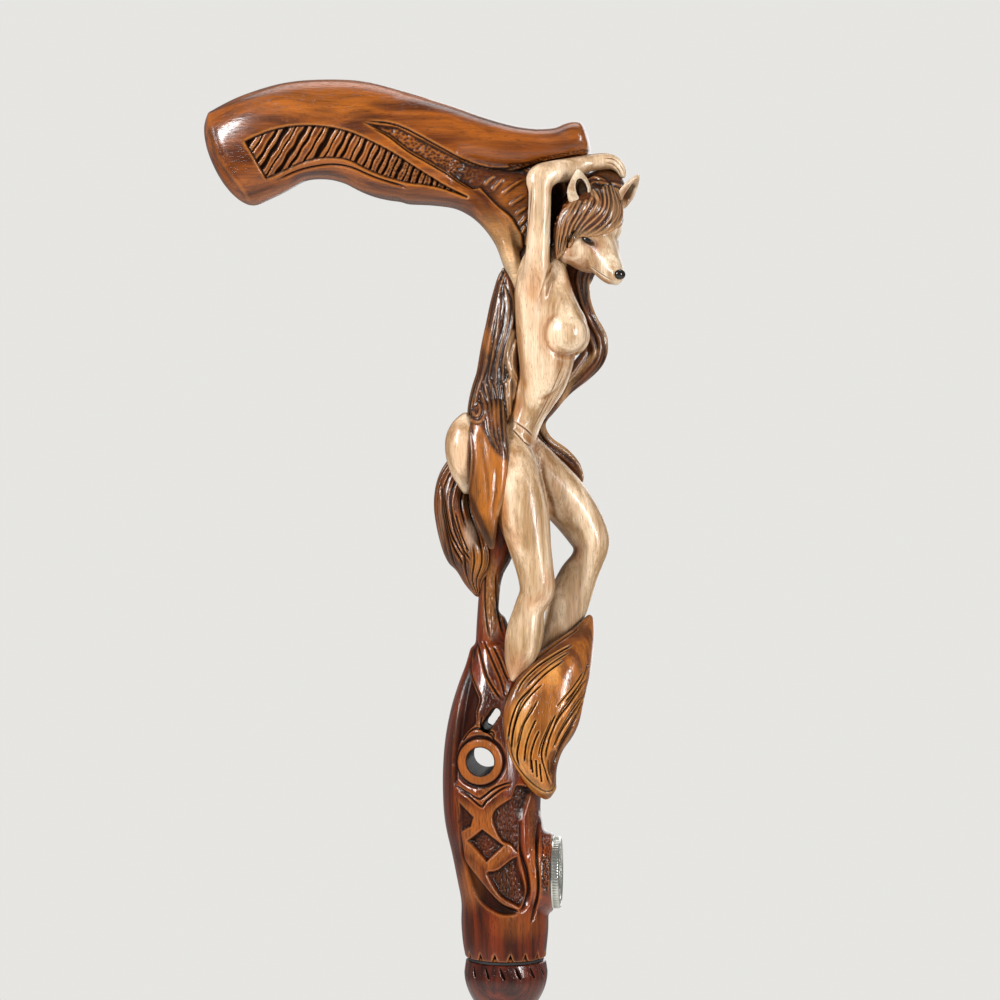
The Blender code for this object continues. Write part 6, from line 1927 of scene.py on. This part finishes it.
def carve_grip(carve):
    x, z = carve.where.T
    panel = np.vstack([through(PANEL_TOP, 4), through(PANEL_FOOT, 4)])
    deep = inside(carve.where, panel)
    sunk = ease(-0.2, 0.9, deep)
    # Slanting hatches, coarse at the left and closer at the right
    lean = np.radians(np.interp(x, [-98, -60, -20], [57, 63, 72]))
    run = x - (z - 302.0) / np.tan(lean)
    stops, counts = [-104.0, -92.0, -70.0, -46.0, -14.0], [0.0, 3.1, 9.3, 17.0, 29.0]
    place = np.interp(run, stops, counts) + 0.10 * np.sin(run * 1.1) + 0.05 * np.sin(z * 0.9 + run)
    beat = np.abs(place - np.round(place))
    number = np.round(place)
    narrow = 0.20 + 0.07 * np.sin(number * 2.3)
    gouged = 1 - ease(0.5 * narrow, 1.35 * narrow, beat)
    hammer = pecks(carve.where, (1.6, 1.3), 1.0) * ease(-56, -40, x)
    ground = 0.55 + 1.15 * gouged + 0.55 * hammer + 0.25 * (beat / 0.5)
    carve.cut(ground * sunk, np.maximum(0.97 * gouged, 0.5 * hammer) * ease(0.0, 0.6, deep))
    foot = np.clip(1 - np.abs(deep - 0.5) / 0.6, 0, 1) * (deep > -0.2)
    carve.cut(1.4 * foot * sunk, 0.97 * foot)
    # The burnt lip under the panel
    lip = [(-87, 292.6), (-84, 294), (-76, 297.2), (-66, 298.9), (-58, 297.8), (-49, 294)]
    carve.groove([*lip, (-36, 290.1)], 1.6, 0.7, 0.9)
    # The channel along the knob, and the web under it, faceted by long slanting strokes
    channel = [
        (-53.3, 315), (-40.9, 313.6), (-24.8, 305.4), (-14.1, 299.8), (-4.3, 297.4), (7, 297.6), (9.6, 295.4),
        (9.4, 285.2), (8.6, 277.5), (6.9, 265), (5.6, 272.5), (2.1, 278.6), (-4, 284), (-9.8, 290.1),
        (-12.5, 289.8), (-20.6, 294.6), (-28.7, 299.5), (-36.9, 304.3), (-44.3, 310), (-50.6, 313.3),
    ]
    carve.recess(channel, 1.3, wall=0.8, burn_and_shade=0.25, edge_burn=0.9, rough=0.12, size=(2.2, 1.8), steps=1)
    hammered = ease(0, 1, inside(carve.where, np.array(channel))) * ease(0, 14, -6 - x)
    carve.peck(hammered, 0.5, 0.5, (1.5, 1.2), 4.0)
    for line in (
        [(-53.3, 315.2), (-40.9, 313.9), (-24.8, 305.6), (-14.1, 300), (-4.3, 297.6), (7, 298)],
        [(-50.6, 313.1), (-44.3, 309.8), (-36.9, 304.1), (-28.7, 299.3), (-20.6, 294.4), (-12.5, 289.5)],
    ):
        carve.groove(line, 1.3, 0.9, 0.95)
    for line in (
        [(-8.6, 291), (-4, 295.6)],
        [(-5.6, 289), (-0.6, 294.6)],
        [(-2.4, 287.6), (3, 291.6), (7.6, 294.6)],
        [(0.6, 283.4), (4, 285.6), (8, 288.2)],
        [(3, 280.2), (5.4, 281.6), (8.2, 283.6)],
        [(4.2, 276.2), (6.2, 277.8), (7.8, 280)],
        [(5.4, 272.8), (6.4, 274.4), (7.4, 276.4)],
    ):
        carve.ridge(line, 1.9, 0.8, ends=0.3)
    carve.groove([(10.4, 297), (8.4, 292), (8.7, 285.2), (8.2, 277.5), (7.4, 270)], 1.8, 1.0, 0.9)
    # The knob's rough lower edge, over the arms
    knob_edge = [(-9.8, 297.8), (1.7, 297), (7.5, 297.4), (13.2, 299.3), (20.9, 300.9), (30.8, 302.8)]
    carve.groove(knob_edge, 1.9, 1.0, 0.9)
    gap, _ = from_line(carve.where, through([(u, v + 1.5) for u, v in knob_edge[1:]], 4), 2.0)
    carve.peck(1 - ease(0.3, 1.3, gap), 0.45, 0.6, (1.1, 0.6), 2.0)
    # The end face, cut back inside its edge
    edge_line = [
        (-96.8, 286.6), (-99.4, 290.4), (-103.9, 296.1), (-107.2, 301.1), (-109.7, 307.2), (-111.2, 314.4),
        (-111.4, 320),
    ]
    carve.groove([(u - 2.0, v) for u, v in edge_line], 4.0, 0.3, 0.0, ends=0)
    carve.ridge(edge_line, 3.2, 0.3, ends=0)
    # The neck is left bare where it runs into the figure's back
    carve.wash("bare", ease(0, 14, 284.0 - z) * ease(-16, -8, x))
    # Orange over the web, and a lighter orange along the handle's top that is painted light.
    carve.dab("orange", (-70, 322, 36, 9, 0.6), (2, 287, 9, 10, 0.9))
    carve.wash("pale", ease(0, 14, 273.0 - z) * ease(-10, -3, x))
    # The knob's lower half and the end's lower part washed darker as painted shade; the panel's ground
    # stained dark.
    carve.dab("dark", (10, 304, 26, 5, 0.7), (-106, 292, 8, 16, 0.4))
    carve.wash("dark", np.interp(x, [-96, -60], [0.45, 0.95]) * sunk)


grip_ash = lacquered_ash(
    "grip_ash",
    ("8a4710", "552406", "210c04", "b36e2c"),
    (("orange", "a85d16", 0.7), ("bare", "c59660", 0.68), ("dark", "5c2606", 0.75), ("pale", "d2b48e", 0.92)),
    turn=(0.0, math.radians(90), 0.0),
    ring=0.22,
    gloss=0.18,
)
grip_forms = [
    limb(GRIP, blunt=0.62, square=2.3, sides=96),
    limb(KNOB, blunt=0.22, square=2.4, sides=96),
    limb(NECK, square=2.2),
    limb(WEB, square=2.6),
]
grip = skin("carved_grip", grip_forms, 1.0, 0.42)
carved(grip, carve_grip, grip_ash, "grip_wood", "handle")
